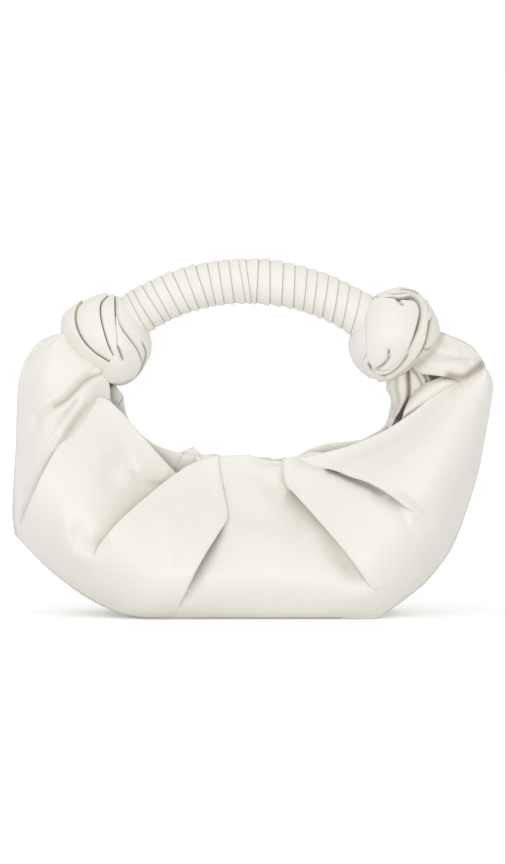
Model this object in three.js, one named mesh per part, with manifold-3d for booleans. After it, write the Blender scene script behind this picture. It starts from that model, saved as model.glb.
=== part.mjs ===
// A crescent-shaped leather hand bag. Its pleated ends rise to two knots, which hold a padded
// arch handle bound with a wound leather strip. Millimetres, +Z up, the front faces -Y.
// The origin is on the floor, under the middle of the bag.
import * as THREE from "three";
import { mergeVertices } from "three/addons/utils/BufferGeometryUtils.js";
import Module from "manifold-3d";

const wasm = await Module();
wasm.setup();

// Body sizes
const BAG_WIDTH = 340;
const BAG_DEPTH = 112;
const BASE_LENGTH = 180;
const BASE_WIDTH = 76;
const MOUTH_HEIGHT = 112;
const LIP_HEIGHT = 24;
const EDGE_WIDTH = 8; // how wide the rounded outer edge of each end is, from front to back
const NECK_DEPTH = 40;

// How the outline of each end bends. The hip is the widest point, and the toe leaves the base.
const LEFT_END = {
  sign: -1,
  hipHeight: 70,
  hipDrop: 22,
  hipRise: 75,
  toeReach: 26,
  toeRise: 5,
  shoulderReach: 32,
  mouthReach: 75,
  throatReach: 84,
  throatHeight: 125,
};
const RIGHT_END = {
  sign: 1,
  hipHeight: 163,
  hipDrop: 60,
  hipRise: 14,
  toeReach: 44,
  toeRise: 8,
  shoulderReach: 16,
  mouthReach: 62,
  throatReach: 104,
  throatHeight: 128,
};

// Where the front and back panels end, as a length along the base from the middle
const PANEL_HALF_LENGTH = 80;
// Stations fan out from the mouth to the base: under 1 spreads them along the mouth.
const FAN = 0.6;

// Sheet thicknesses and the gaps between layers
const LEATHER = 2;
const LINING = 0.8;
const FACING = 1.2;
const BASE_BOARD = 2;
const SEAM_GAP = 0.4;
const PANEL_GAP = 0.8;
const WASHER_GAP = 1.5;

// Knife pleats: the station where each fold edge lies, and how far it stands proud at the mouth
const PLEAT_RISE = 4;
const PLEAT_SPREAD = 0.1;
const PANEL_PLEATS = [-0.16, 0.2];
const LEFT_PLEATS = [0.38, 0.56];
const RIGHT_PLEATS = [0.46];

// Handle and knots
const KNOT_SPACING = 204;
const KNOT_HEIGHT = 194;
const KNOT_RADIUS = 33;
const KNOT_GAP = 0.5;
const HANDLE_RISE = 42;
const HANDLE_DIAMETER = 33;
const STRIP_THICKNESS = 2.4;
const STRIP_CROWN = 0.5;
const STRIP_GAP = 0.7;
const WIRE_DIAMETER = 4;
const HANDLE_GAP = 0.4;
const LEFT_TURNS = 13;
const RIGHT_TURNS = 11;
const HANDLE_SEAT_DEPTH = 17; // how far the padding goes into a knot
const WIRE_SEAT_DEPTH = 26;
const STRAP_WIDTH = 19;
const STRAP_THICKNESS = 11;

// Magnetic snap
const SNAP_RADIUS = 8;
const STUD_PLATE = 1.5;
const STUD_BOSS_RADIUS = 3;
const STUD_BOSS_HEIGHT = 2;
const SOCKET_HEIGHT = 3.4;
const SOCKET_WALL = 1;
const SOCKET_HOLE_RADIUS = 4;
const SNAP_GAP = 0.4;
const POST_RADIUS = 1.6;
const WASHER_RADIUS = 6;
const WASHER_THICKNESS = 0.7;

// Slip pocket on the back lining: its reach is a share of the panel, its rows are shares of the wall
const POCKET_REACH = 0.6;
const POCKET_TOP = 0.36;
const POCKET_BOTTOM = 0.78;

const leather = new THREE.MeshStandardMaterial({ color: 0xeeece4, roughness: 0.48 });
const lining = new THREE.MeshStandardMaterial({ color: 0xcfc6b4, roughness: 0.9 });
const board = new THREE.MeshStandardMaterial({ color: 0x8a7f70, roughness: 0.85 });
const foam = new THREE.MeshStandardMaterial({ color: 0xd8d4c8, roughness: 0.95 });
const steel = new THREE.MeshStandardMaterial({ color: 0x9a9a9c, roughness: 0.35, metalness: 1 });
const brass = new THREE.MeshStandardMaterial({ color: 0xc9a86a, roughness: 0.3, metalness: 1 });

const bag = new THREE.Group();

function addPiece(name, geometry, material) {
  const mesh = new THREE.Mesh(geometry, material);
  mesh.name = name;
  bag.add(mesh);
  return mesh;
}

// Solids and meshes

function signedVolume(points, triangles) {
  let sum = 0;
  for (let i = 0; i < triangles.length; i += 3) {
    const [a, b, c] = [0, 1, 2].map((k) => points[triangles[i + k]]);
    sum += a.dot(new THREE.Vector3().crossVectors(b, c)) / 6;
  }
  return sum;
}

// A closed surface from its points and triangles, turned so that its faces point out.
function closedGeometry(points, triangles) {
  const index = signedVolume(points, triangles) < 0 ? triangles.toReversed() : triangles;
  return new THREE.BufferGeometry().setFromPoints(points).setIndex(index);
}

function solidOf(geometry) {
  const bare = geometry.clone();
  bare.deleteAttribute("normal");
  bare.deleteAttribute("uv");
  const merged = mergeVertices(bare, 1e-3);
  return new wasm.Manifold(
    new wasm.Mesh({
      numProp: 3,
      vertProperties: merged.attributes.position.array,
      triVerts: new Uint32Array(merged.index.array),
    }),
  );
}

function geometryOf(solid) {
  const mesh = solid.getMesh();
  return new THREE.BufferGeometry()
    .setAttribute("position", new THREE.BufferAttribute(mesh.vertProperties, 3))
    .setIndex(new THREE.BufferAttribute(mesh.triVerts, 1));
}

// A sheet with thickness between two grids of points, closed by a rim.
function sheetBetween(outer, inner) {
  const rows = outer.length;
  const columns = outer[0].length;
  const points = [...outer.flat(), ...inner.flat()];
  const at = (layer, row, column) => (layer * rows + row) * columns + column;
  const triangles = [];
  const quad = (a, b, c, d) => triangles.push(a, b, c, a, c, d);
  for (let i = 0; i < rows - 1; i++) {
    for (let j = 0; j < columns - 1; j++) {
      quad(at(0, i, j), at(0, i + 1, j), at(0, i + 1, j + 1), at(0, i, j + 1));
      quad(at(1, i, j), at(1, i, j + 1), at(1, i + 1, j + 1), at(1, i + 1, j));
    }
  }
  const rim = [];
  for (let i = 0; i < rows - 1; i++) rim.push([i, 0]);
  for (let j = 0; j < columns - 1; j++) rim.push([rows - 1, j]);
  for (let i = rows - 1; i > 0; i--) rim.push([i, columns - 1]);
  for (let j = columns - 1; j > 0; j--) rim.push([0, j]);
  rim.forEach((p, k) => {
    const q = rim[(k + 1) % rim.length];
    quad(at(0, ...q), at(0, ...p), at(1, ...p), at(1, ...q));
  });
  return closedGeometry(points, triangles);
}

// A solid through a row of like convex sections, with its two ends capped.
function sweptSolid(sections) {
  const sides = sections[0].length;
  const points = sections.flat();
  const triangles = [];
  for (let i = 0; i < sections.length - 1; i++) {
    for (let j = 0; j < sides; j++) {
      const [a, b] = [i * sides + j, i * sides + ((j + 1) % sides)];
      triangles.push(a, b, b + sides, a, b + sides, a + sides);
    }
  }
  const last = (sections.length - 1) * sides;
  for (let j = 1; j < sides - 1; j++) {
    triangles.push(0, j + 1, j);
    triangles.push(last, last + j, last + j + 1);
  }
  return closedGeometry(points, triangles);
}

const steps = (from, to, count) =>
  Array.from({ length: count + 1 }, (_, i) => from + ((to - from) * i) / count);

// The body's surface. Station t runs from -1 at the left knot to 1 at the right knot. Across a
// station, w runs down the front from 0 to 1, under the base from 1 to 2 and up the back to 3.

const knotX = KNOT_SPACING / 2;
const facingFace = (2 * SEAM_GAP + STUD_PLATE + SNAP_GAP + SOCKET_HEIGHT) / 2;
const lipFace = facingFace + FACING + WASHER_GAP + LEATHER;
const LIP_SHARE = 0.25; // the part of w that the straight lip takes

function outlineOf(end) {
  const halfBase = BASE_LENGTH / 2;
  const hip = BAG_WIDTH / 2;
  const point = (x, z) => new THREE.Vector2(x, z);
  const outer = new THREE.CurvePath();
  outer.add(new THREE.LineCurve(point(0, 0), point(halfBase, 0)));
  outer.add(
    new THREE.CubicBezierCurve(
      point(halfBase, 0),
      point(halfBase + end.toeReach, end.toeRise),
      point(hip, end.hipHeight - end.hipDrop),
      point(hip, end.hipHeight),
    ),
  );
  const shoulder = knotX + KNOT_RADIUS;
  outer.add(
    new THREE.CubicBezierCurve(
      point(hip, end.hipHeight),
      point(hip, end.hipHeight + end.hipRise),
      point(shoulder + end.shoulderReach, KNOT_HEIGHT + KNOT_GAP),
      point(shoulder, KNOT_HEIGHT),
    ),
  );
  const inner = new THREE.CubicBezierCurve(
    point(0, MOUTH_HEIGHT),
    point(end.mouthReach, MOUTH_HEIGHT),
    point(end.throatReach, end.throatHeight),
    point(knotX, KNOT_HEIGHT - KNOT_RADIUS),
  );
  return { outer, inner, length: outer.getLength() };
}

const outlines = { left: outlineOf(LEFT_END), right: outlineOf(RIGHT_END) };
const stationOfBase = (length, outline) => length / outline.length;

// The flat of the base narrows to the rounded edge over this stretch of stations.
const TAPER_START = 0.24;
const TAPER_END = 0.52;

// Over this stretch a panel's wall, which hangs straight and sags low, becomes an end's, which
// swells out close under a narrow lip.
const END_START = 0.26;
const END_FULL = 0.5;
const END_LIP_HEIGHT = 6;
const END_FULLNESS = 0.9; // how far out an end is drawn under its lip, as a share of its half depth
const PANEL_SAG = 0.7; // how far down the wall each is deepest
const END_SAG = 0.55;
const DEPTH_POWER = 2.2; // higher keeps the bag deep further towards its knots

function halfBaseAt(t) {
  const taper = THREE.MathUtils.smoothstep(Math.abs(t), TAPER_START, TAPER_END);
  return THREE.MathUtils.lerp(BASE_WIDTH, EDGE_WIDTH, taper) / 2;
}

function halfDepthAt(t) {
  const swell = Math.cos((Math.PI / 2) * Math.abs(t) ** DEPTH_POWER) ** 2;
  return THREE.MathUtils.lerp(NECK_DEPTH, BAG_DEPTH, swell) / 2;
}

function bezier(v, a, b, c, d) {
  return (1 - v) ** 3 * a + 3 * (1 - v) ** 2 * v * b + 3 * (1 - v) * v ** 2 * c + v ** 3 * d;
}

// The front wall at a station, as a distance down from the mouth and a depth from the middle.
function wallPoint(t, w, chord) {
  const { lerp, smoothstep } = THREE.MathUtils;
  const end = smoothstep(Math.abs(t), END_START, END_FULL);
  const lip = lerp(LIP_HEIGHT, END_LIP_HEIGHT, end);
  if (w <= LIP_SHARE) return [(lip * w) / LIP_SHARE, lipFace];
  const v = (w - LIP_SHARE) / (1 - LIP_SHARE);
  const base = halfBaseAt(t);
  const depth = halfDepthAt(t);
  const upper = lerp(lipFace, depth * END_FULLNESS, end);
  // The lower control point swells the wall to its half depth where it is deepest.
  const sag = lerp(PANEL_SAG, END_SAG, end);
  const lower = (depth - bezier(sag, lipFace, upper, 0, base)) / (3 * (1 - sag) * sag ** 2);
  return [lip + (chord - lip) * bezier(v, 0, 0.3, 0.8, 1), bezier(v, lipFace, upper, lower, base)];
}

function surfacePoint(t, w) {
  const end = t < 0 ? LEFT_END : RIGHT_END;
  const outline = t < 0 ? outlines.left : outlines.right;
  const outer = outline.outer.getPoint(Math.abs(t));
  const inner = outline.inner.getPointAt(Math.abs(t) ** FAN);
  const chord = outer.distanceTo(inner);
  const place = (down, y) => {
    const p = inner.clone().lerp(outer, down / chord);
    return new THREE.Vector3(end.sign * p.x, y, p.y);
  };
  if (w <= 1) {
    const [down, depth] = wallPoint(t, w, chord);
    return place(down, -depth);
  }
  if (w >= 2) {
    const [down, depth] = wallPoint(t, 3 - w, chord);
    return place(down, depth);
  }
  return place(chord, THREE.MathUtils.lerp(-1, 1, w - 1) * halfBaseAt(t));
}

const NUDGE = 1e-3;

// The unit normal that points out of the bag. The range of w keeps it on one side of a corner.
function surfaceNormal(t, w, low, high) {
  const along = surfacePoint(t + NUDGE, w).sub(surfacePoint(t - NUDGE, w));
  const down = surfacePoint(t, Math.min(w + NUDGE, high)).sub(surfacePoint(t, Math.max(w - NUDGE, low)));
  return new THREE.Vector3().crossVectors(down, along).normalize();
}

// How far the outer face stands proud beside a knife pleat: it climbs to the fold edge and drops.
function pleatRise(t, w, pleats) {
  const wall = w <= 1 ? w : 3 - w;
  const fade = Math.max(0, 1 - wall) * (w < 1 || w > 2 ? 1 : 0);
  const climb = pleats.map((edge) => {
    const from = edge - PLEAT_SPREAD;
    return t > from && t <= edge ? (t - from) / PLEAT_SPREAD : 0;
  });
  return PLEAT_RISE * fade * Math.max(0, ...climb);
}

// Evenly spaced stations, with one at each side of every pleat's fold edge.
function stationsWithPleats(from, to, count, pleats) {
  const [low, high] = [Math.min(from, to), Math.max(from, to)];
  const folds = pleats.filter((edge) => edge > low && edge < high).flatMap((edge) => [edge, edge + NUDGE * 4]);
  return [...steps(from, to, count), ...folds].sort((a, b) => a - b);
}

// A sheet that follows the body's surface, from one depth under its outer face to another.
function bodySheet({ stations, ws, from = 0, to, pleats = [] }) {
  const [low, high] = [Math.min(...ws), Math.max(...ws)];
  const layer = (depth, proud) =>
    stations.map((t) =>
      ws.map((w) => {
        const rise = proud ? pleatRise(t, w, pleats) : 0;
        return surfacePoint(t, w).addScaledVector(surfaceNormal(t, w, low, high), rise - depth);
      }),
    );
  return sheetBetween(layer(from, true), layer(to, false));
}

// Base

function plate(length, width, thickness, height) {
  const geometry = new THREE.BoxGeometry(length, width, thickness);
  return geometry.translate(0, 0, height + thickness / 2);
}

const boardMargin = 5;
const boardHeight = LEATHER + SEAM_GAP;
const baseLiningHeight = boardHeight + BASE_BOARD + SEAM_GAP;
const baseLength = 2 * (PANEL_HALF_LENGTH - PANEL_GAP);
const baseWidth = BASE_WIDTH - 2 * PANEL_GAP;
const boardLength = baseLength - 2 * boardMargin;
const boardWidth = baseWidth - 2 * boardMargin;
addPiece("base_panel", plate(baseLength, baseWidth, LEATHER, 0), leather);
addPiece("base_board", plate(boardLength, boardWidth, BASE_BOARD, boardHeight), board);
addPiece("base_lining", plate(boardLength, boardWidth, LINING, baseLiningHeight), lining);

// Front and back. The back is the front's mirror image, apart from its snap half and pocket.

const panelLeft = -stationOfBase(PANEL_HALF_LENGTH, outlines.left);
const panelRight = stationOfBase(PANEL_HALF_LENGTH, outlines.right);
const panelStations = stationsWithPleats(panelLeft, panelRight, 12, PANEL_PLEATS);
const LIP_STEPS = 2;
const WALL_STEPS = 9;
const wallSteps = [...steps(0, LIP_SHARE, LIP_STEPS), ...steps(LIP_SHARE, 1, WALL_STEPS).slice(1)];
const panel = bodySheet({ stations: panelStations, ws: wallSteps, to: LEATHER, pleats: PANEL_PLEATS });

// The lining takes the same stations and steps as the panel over it, so the layers stay parallel.
const facingDepth = LEATHER + WASHER_GAP;
const facingSheet = bodySheet({
  stations: panelStations,
  ws: wallSteps.slice(0, LIP_STEPS + 2),
  from: facingDepth,
  to: facingDepth + FACING,
});
const liningDepth = LEATHER + SEAM_GAP;
const liningSheet = bodySheet({
  stations: panelStations,
  ws: wallSteps.slice(LIP_STEPS, -1),
  from: liningDepth,
  to: liningDepth + LINING,
});

const snapHeight = MOUTH_HEIGHT - LIP_HEIGHT / 2;

// A turned piece whose axis runs along Y at the snap's height. Its profile is [radius, y] pairs.
function turned(profile, sides = 16) {
  const points = profile.map(([radius, y]) => new THREE.Vector2(radius, y));
  return new THREE.LatheGeometry(points, sides).translate(0, 0, snapHeight);
}

function turnedSolid(profile) {
  const geometry = turned(profile);
  return solidOf(geometry).volume() < 0 ? turned(profile.toReversed()) : geometry;
}

const postHole = solidOf(
  new THREE.CylinderGeometry(POST_RADIUS + SEAM_GAP, POST_RADIUS + SEAM_GAP, BAG_DEPTH, 16).translate(0, 0, snapHeight),
);
const facing = geometryOf(solidOf(facingSheet).subtract(postHole));

addPiece("front_panel", panel, leather);
addPiece("front_lining", liningSheet, lining);
addPiece("front_facing", facing, leather);
addPiece("back_panel", panel, leather).scale.y = -1;
addPiece("back_lining", liningSheet, lining).scale.y = -1;
addPiece("back_facing", facing, leather).scale.y = -1;

const pocketDepth = liningDepth + LINING + SEAM_GAP;
const pocket = bodySheet({
  stations: panelStations.filter((t) => t > POCKET_REACH * panelLeft && t < POCKET_REACH * panelRight),
  ws: wallSteps.filter((w) => w > POCKET_TOP && w < POCKET_BOTTOM),
  from: pocketDepth,
  to: pocketDepth + LINING,
});
addPiece("slip_pocket", pocket, lining).scale.y = -1;

// Magnetic snap: a stud on the front facing meets a magnet in its socket on the back facing.
// Each half has a post through its facing, held by a washer behind.

const studSeat = -facingFace + SEAM_GAP;
const studFace = studSeat + STUD_PLATE;
const postReach = facingFace + FACING + SEAM_GAP + WASHER_THICKNESS;
const socketFace = studFace + SNAP_GAP;
const socketSeat = socketFace + SOCKET_HEIGHT;
const floorOfSocket = socketSeat - SOCKET_WALL;
addPiece(
  "snap_stud",
  turnedSolid([
    [0, -postReach],
    [POST_RADIUS, -postReach],
    [POST_RADIUS, studSeat],
    [SNAP_RADIUS, studSeat],
    [SNAP_RADIUS, studFace],
    [STUD_BOSS_RADIUS, studFace],
    [STUD_BOSS_RADIUS, studFace + STUD_BOSS_HEIGHT],
    [0, studFace + STUD_BOSS_HEIGHT],
  ]),
  brass,
);
addPiece(
  "snap_socket",
  turnedSolid([
    [0, postReach],
    [POST_RADIUS, postReach],
    [POST_RADIUS, socketSeat],
    [SNAP_RADIUS, socketSeat],
    [SNAP_RADIUS, socketFace],
    [SNAP_RADIUS - SOCKET_WALL, socketFace],
    [SNAP_RADIUS - SOCKET_WALL, floorOfSocket],
    [0, floorOfSocket],
  ]),
  brass,
);

function ring(innerRadius, outerRadius, from, to) {
  return turnedSolid([
    [innerRadius, from],
    [outerRadius, from],
    [outerRadius, to],
    [innerRadius, to],
    [innerRadius, from],
  ]);
}

const magnetRadius = SNAP_RADIUS - SOCKET_WALL - SEAM_GAP;
addPiece("snap_magnet", ring(SOCKET_HOLE_RADIUS, magnetRadius, socketFace, floorOfSocket - SEAM_GAP), steel);
const washerSeat = facingFace + FACING + SEAM_GAP;
const washerHole = POST_RADIUS + SEAM_GAP;
const washer = ring(washerHole, WASHER_RADIUS, -washerSeat - WASHER_THICKNESS, -washerSeat);
addPiece("stud_washer", washer, steel);
addPiece("socket_washer", washer, steel).scale.y = -1;

// Ends: each wraps round the bag from the front lip to the back lip, and closes on its knot.

const knotCentre = (end) => new THREE.Vector3(end.sign * knotX, 0, KNOT_HEIGHT);

function ball(radius, centre) {
  const geometry = new THREE.SphereGeometry(radius, 24, 16);
  return solidOf(geometry.translate(centre.x, centre.y, centre.z));
}

const LINED_TO = 0.82; // the station where an end's lining stops, below the knot
const underSteps = steps(1, 2, 2).slice(1, -1);
const girthSteps = [...wallSteps, ...underSteps, ...wallSteps.map((w) => 3 - w).reverse()];

function addEnd(name, end, outline, pleats) {
  const first = stationOfBase(PANEL_HALF_LENGTH + PANEL_GAP, outline);
  const edges = pleats.map((edge) => end.sign * edge);
  const stations = stationsWithPleats(end.sign * first, end.sign * (1 - NUDGE), 11, edges);
  const shell = bodySheet({ stations, ws: girthSteps, to: LEATHER, pleats: edges });
  const cut = solidOf(shell).subtract(ball(KNOT_RADIUS + KNOT_GAP, knotCentre(end)));
  const largest = cut.decompose().sort((a, b) => b.volume() - a.volume())[0];
  addPiece(`${name}_end`, geometryOf(largest), leather);
  const liningShell = bodySheet({
    stations: stations.filter((t) => Math.abs(t) < LINED_TO),
    ws: girthSteps.slice(1, -1),
    from: liningDepth,
    to: liningDepth + LINING,
  });
  addPiece(`${name}_end_lining`, liningShell, lining);
}

addEnd("left", LEFT_END, outlines.left, LEFT_PLEATS);
addEnd("right", RIGHT_END, outlines.right, RIGHT_PLEATS);

// Handle: an arc through both knots and the top of the arch

const archRadius = (knotX ** 2 + HANDLE_RISE ** 2) / (2 * HANDLE_RISE);
const archCentreHeight = KNOT_HEIGHT + HANDLE_RISE - archRadius;
const archHalfAngle = Math.asin(knotX / archRadius);
const angleOf = (length) => length / archRadius;

class ArchCurve extends THREE.Curve {
  constructor(halfAngle) {
    super();
    this.halfAngle = halfAngle;
  }
  getPoint(t) {
    return archPoint(THREE.MathUtils.lerp(-this.halfAngle, this.halfAngle, t), 0, 0);
  }
}

// A point round the arch: its angle along the arch, its radius from the tube's middle and its turn.
function archPoint(angle, radius, turn) {
  const reach = archRadius + radius * Math.cos(turn);
  return new THREE.Vector3(
    reach * Math.sin(angle),
    -radius * Math.sin(turn),
    archCentreHeight + reach * Math.cos(angle),
  );
}

function circleShape(radius, holeRadius = 0) {
  const shape = new THREE.Shape().absarc(0, 0, radius, 0, 2 * Math.PI);
  if (holeRadius) shape.holes.push(new THREE.Path().absarc(0, 0, holeRadius, 0, 2 * Math.PI));
  return shape;
}

function archTube({ radius, halfAngle, holeRadius = 0, curveSegments = 6 }) {
  return new THREE.ExtrudeGeometry(circleShape(radius, holeRadius), {
    steps: 24,
    curveSegments,
    bevelEnabled: false,
    extrudePath: new ArchCurve(halfAngle),
  });
}

const paddingRadius = HANDLE_DIAMETER / 2 - STRIP_THICKNESS - HANDLE_GAP;
const wireRadius = WIRE_DIAMETER / 2;
const paddingAngle = archHalfAngle - angleOf(KNOT_RADIUS - HANDLE_SEAT_DEPTH);
const wireAngle = archHalfAngle - angleOf(KNOT_RADIUS - WIRE_SEAT_DEPTH);
const wireHoleRadius = wireRadius + HANDLE_GAP;
const padding = archTube({ radius: paddingRadius, halfAngle: paddingAngle, holeRadius: wireHoleRadius });
addPiece("handle_padding", padding, foam);
addPiece("handle_wire", archTube({ radius: wireRadius, halfAngle: wireAngle }), steel);

// Each half of the handle is bound by one strip, wound from its knot to the middle of the arch.
// The right strip starts in the wedge that the last turn of the left strip leaves.
const TURN_STEPS = 14;
const wrapAngle = paddingAngle - angleOf(HANDLE_GAP);
const leftPitch = wrapAngle / LEFT_TURNS;
const rightPitch = (wrapAngle + leftPitch) / (RIGHT_TURNS + 1);

function windStrip(fromAngle, pitch, turns, firstStep) {
  const innerRadius = paddingRadius + HANDLE_GAP;
  const outerRadius = HANDLE_DIAMETER / 2;
  const edgeRadius = outerRadius - STRIP_CROWN;
  const section = (step) => {
    const turn = (step / TURN_STEPS) * 2 * Math.PI;
    const middle = fromAngle + pitch * (0.5 + step / TURN_STEPS);
    const half = (radius) => pitch / 2 - STRIP_GAP / 2 / (archRadius + radius * Math.cos(turn));
    return [
      archPoint(middle - half(innerRadius), innerRadius, turn),
      archPoint(middle + half(innerRadius), innerRadius, turn),
      archPoint(middle + half(edgeRadius), edgeRadius, turn),
      archPoint(middle, outerRadius, turn),
      archPoint(middle - half(edgeRadius), edgeRadius, turn),
    ];
  };
  return steps(firstStep, turns * TURN_STEPS, turns * TURN_STEPS - 1).map(section);
}

// The least distance between a turn's edge points and those of the next turn.
function leastGap(sections) {
  let least = Infinity;
  for (let i = 0; i + TURN_STEPS < sections.length; i++) {
    const next = sections[i + TURN_STEPS];
    sections[i].forEach((p) => next.forEach((q) => (least = Math.min(least, p.distanceTo(q)))));
  }
  return least;
}

const FIRST_STEP = 0.2; // leaves a gap between the ends of the two strips
const leftStrip = windStrip(-wrapAngle, leftPitch, LEFT_TURNS - 1, 0);
const rightStrip = windStrip(-leftPitch, rightPitch, RIGHT_TURNS, FIRST_STEP);
addPiece("handle_wrap_left", sweptSolid(leftStrip), leather);
addPiece("handle_wrap_right", sweptSolid(rightStrip), leather);
console.log("least gap in a winding, mm:", Math.min(leastGap(leftStrip), leastGap(rightStrip)).toFixed(2));

// Knots: the strap makes an overhand knot, which is a trefoil round the line of the handle.

const LOBES = 3;
const PASSES = 2;

function knotStrap(end) {
  const strapRadius = KNOT_RADIUS - STRAP_THICKNESS / 2;
  const ringRadius = strapRadius * 0.66;
  const wave = strapRadius - ringRadius;
  const sway = strapRadius * 0.74;
  const slope = end.sign * archHalfAngle;
  const axis = new THREE.Vector3(Math.cos(slope), 0, -Math.sin(slope));
  const side = new THREE.Vector3(0, 1, 0);
  const up = new THREE.Vector3().crossVectors(axis, side);
  const path = (s) => {
    const round = PASSES * s;
    const reach = ringRadius + wave * Math.cos(LOBES * s);
    return knotCentre(end)
      .addScaledVector(up, reach * Math.cos(round))
      .addScaledVector(side, reach * Math.sin(round))
      .addScaledVector(axis, end.sign * sway * Math.sin(LOBES * s));
  };
  const OPENING = 0.02; // the strap's two ends stay just apart
  const parameters = steps(OPENING, 2 * Math.PI - OPENING, 37);
  const sections = parameters.map((s) => {
    const tangent = path(s + NUDGE).sub(path(s - NUDGE)).normalize();
    const out = path(s).sub(knotCentre(end)).normalize();
    const across = new THREE.Vector3().crossVectors(tangent, out).normalize();
    const lift = new THREE.Vector3().crossVectors(across, tangent);
    return steps(0, 2 * Math.PI, 8)
      .slice(1)
      .map((a) =>
        path(s)
          .addScaledVector(across, (STRAP_WIDTH / 2) * Math.cos(a))
          .addScaledVector(lift, (STRAP_THICKNESS / 2) * Math.sin(a)),
      );
  });
  return sections;
}

// The strap's sections are joined two by two, because its passes cross.
function joinedStrap(sections) {
  let joined = null;
  for (let i = 0; i < sections.length - 1; i++) {
    const piece = solidOf(sweptSolid([sections[i], sections[i + 1]]));
    joined = joined ? joined.add(piece) : piece;
  }
  return joined;
}

const KNOT_CORE_SHARE = 0.84;
const ROUND_SEGMENTS = 12;
const handleRoom = solidOf(
  archTube({
    radius: HANDLE_DIAMETER / 2 + HANDLE_GAP,
    halfAngle: paddingAngle + angleOf(HANDLE_GAP),
    curveSegments: ROUND_SEGMENTS,
  }),
);
const wireRoom = solidOf(
  archTube({
    radius: wireHoleRadius,
    halfAngle: wireAngle + angleOf(HANDLE_GAP),
    curveSegments: ROUND_SEGMENTS,
  }),
);

function addKnot(name, end) {
  const centre = knotCentre(end);
  const knot = joinedStrap(knotStrap(end))
    .add(ball(KNOT_RADIUS * KNOT_CORE_SHARE, centre))
    .intersect(ball(KNOT_RADIUS, centre))
    .subtract(handleRoom)
    .subtract(wireRoom);
  const largest = knot.decompose().sort((a, b) => b.volume() - a.volume())[0];
  addPiece(`${name}_knot`, geometryOf(largest), leather);
}

addKnot("left", LEFT_END);
addKnot("right", RIGHT_END);

export default bag;
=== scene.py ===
import math

import bmesh
import bpy
import numpy as np
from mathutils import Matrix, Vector
from mathutils.kdtree import KDTree


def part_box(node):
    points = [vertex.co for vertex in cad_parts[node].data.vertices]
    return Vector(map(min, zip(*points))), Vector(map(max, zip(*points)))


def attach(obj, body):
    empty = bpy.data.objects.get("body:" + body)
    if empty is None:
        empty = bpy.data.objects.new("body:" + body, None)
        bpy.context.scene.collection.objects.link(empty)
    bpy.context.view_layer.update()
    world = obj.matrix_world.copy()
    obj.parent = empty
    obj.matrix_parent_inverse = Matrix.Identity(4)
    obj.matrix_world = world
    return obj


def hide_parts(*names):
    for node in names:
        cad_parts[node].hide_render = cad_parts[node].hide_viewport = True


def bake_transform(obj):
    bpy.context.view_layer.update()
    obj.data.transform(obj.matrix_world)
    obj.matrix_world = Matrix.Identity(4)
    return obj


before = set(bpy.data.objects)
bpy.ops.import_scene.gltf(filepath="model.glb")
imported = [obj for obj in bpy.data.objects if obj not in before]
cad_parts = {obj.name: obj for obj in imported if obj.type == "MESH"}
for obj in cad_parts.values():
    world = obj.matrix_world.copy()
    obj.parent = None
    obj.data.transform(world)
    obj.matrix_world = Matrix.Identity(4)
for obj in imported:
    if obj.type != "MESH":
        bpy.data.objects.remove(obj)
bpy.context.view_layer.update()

# The photograph is 505 by 864 pixels. Its lines are written here in its pixels, and a third number
# is how far a point stands out from the bag's middle plane, in millimetres, to the front on pieces of
# the front and to the back on pieces of the back.
PHOTO_HEIGHT = 864
PHOTO_MIDDLE, PHOTO_FLOOR = 252.5, 613.5
MM_PER_PIXEL = 0.707
TILT = math.radians(4)
MM = 0.001
FRONT, BACK = -1, 1


def to_row(px, py, y):
    """Photo pixels and a depth y (mm, +Y to the back) to the row's frame, in millimetres."""
    x = (px - PHOTO_MIDDLE) * MM_PER_PIXEL
    z = ((PHOTO_FLOOR - py) * MM_PER_PIXEL - y * math.sin(TILT)) / math.cos(TILT)
    return np.stack([x, y, z], axis=-1)


def to_photo(x, y, z):
    px = x / MM_PER_PIXEL + PHOTO_MIDDLE
    py = PHOTO_FLOOR - (z * math.cos(TILT) + y * math.sin(TILT)) / MM_PER_PIXEL
    return px, py


# Curves and sheets


def smooth(x, low=0.0, high=1.0):
    t = np.clip((np.asarray(x, float) - low) / (high - low), 0, 1)
    return t * t * (3 - 2 * t)


def keyed(pairs, at):
    """A smooth value through (place, value) pairs."""
    places, values = np.array(pairs, float).T
    at = np.asarray(at, float)
    i = np.clip(np.searchsorted(places, at) - 1, 0, len(places) - 2)
    t = smooth((at - places[i]) / (places[i + 1] - places[i]))
    return values[i] * (1 - t) + values[i + 1] * t


def run_along(path):
    """How far along a path each of its points is."""
    return np.concatenate([[0], np.cumsum(np.linalg.norm(np.diff(path, axis=0), axis=1))])


def points_at(places, run, path):
    """Points of a path at places along its run."""
    return np.stack([np.interp(places, run, path[:, k]) for k in range(path.shape[1])], axis=-1)


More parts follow.
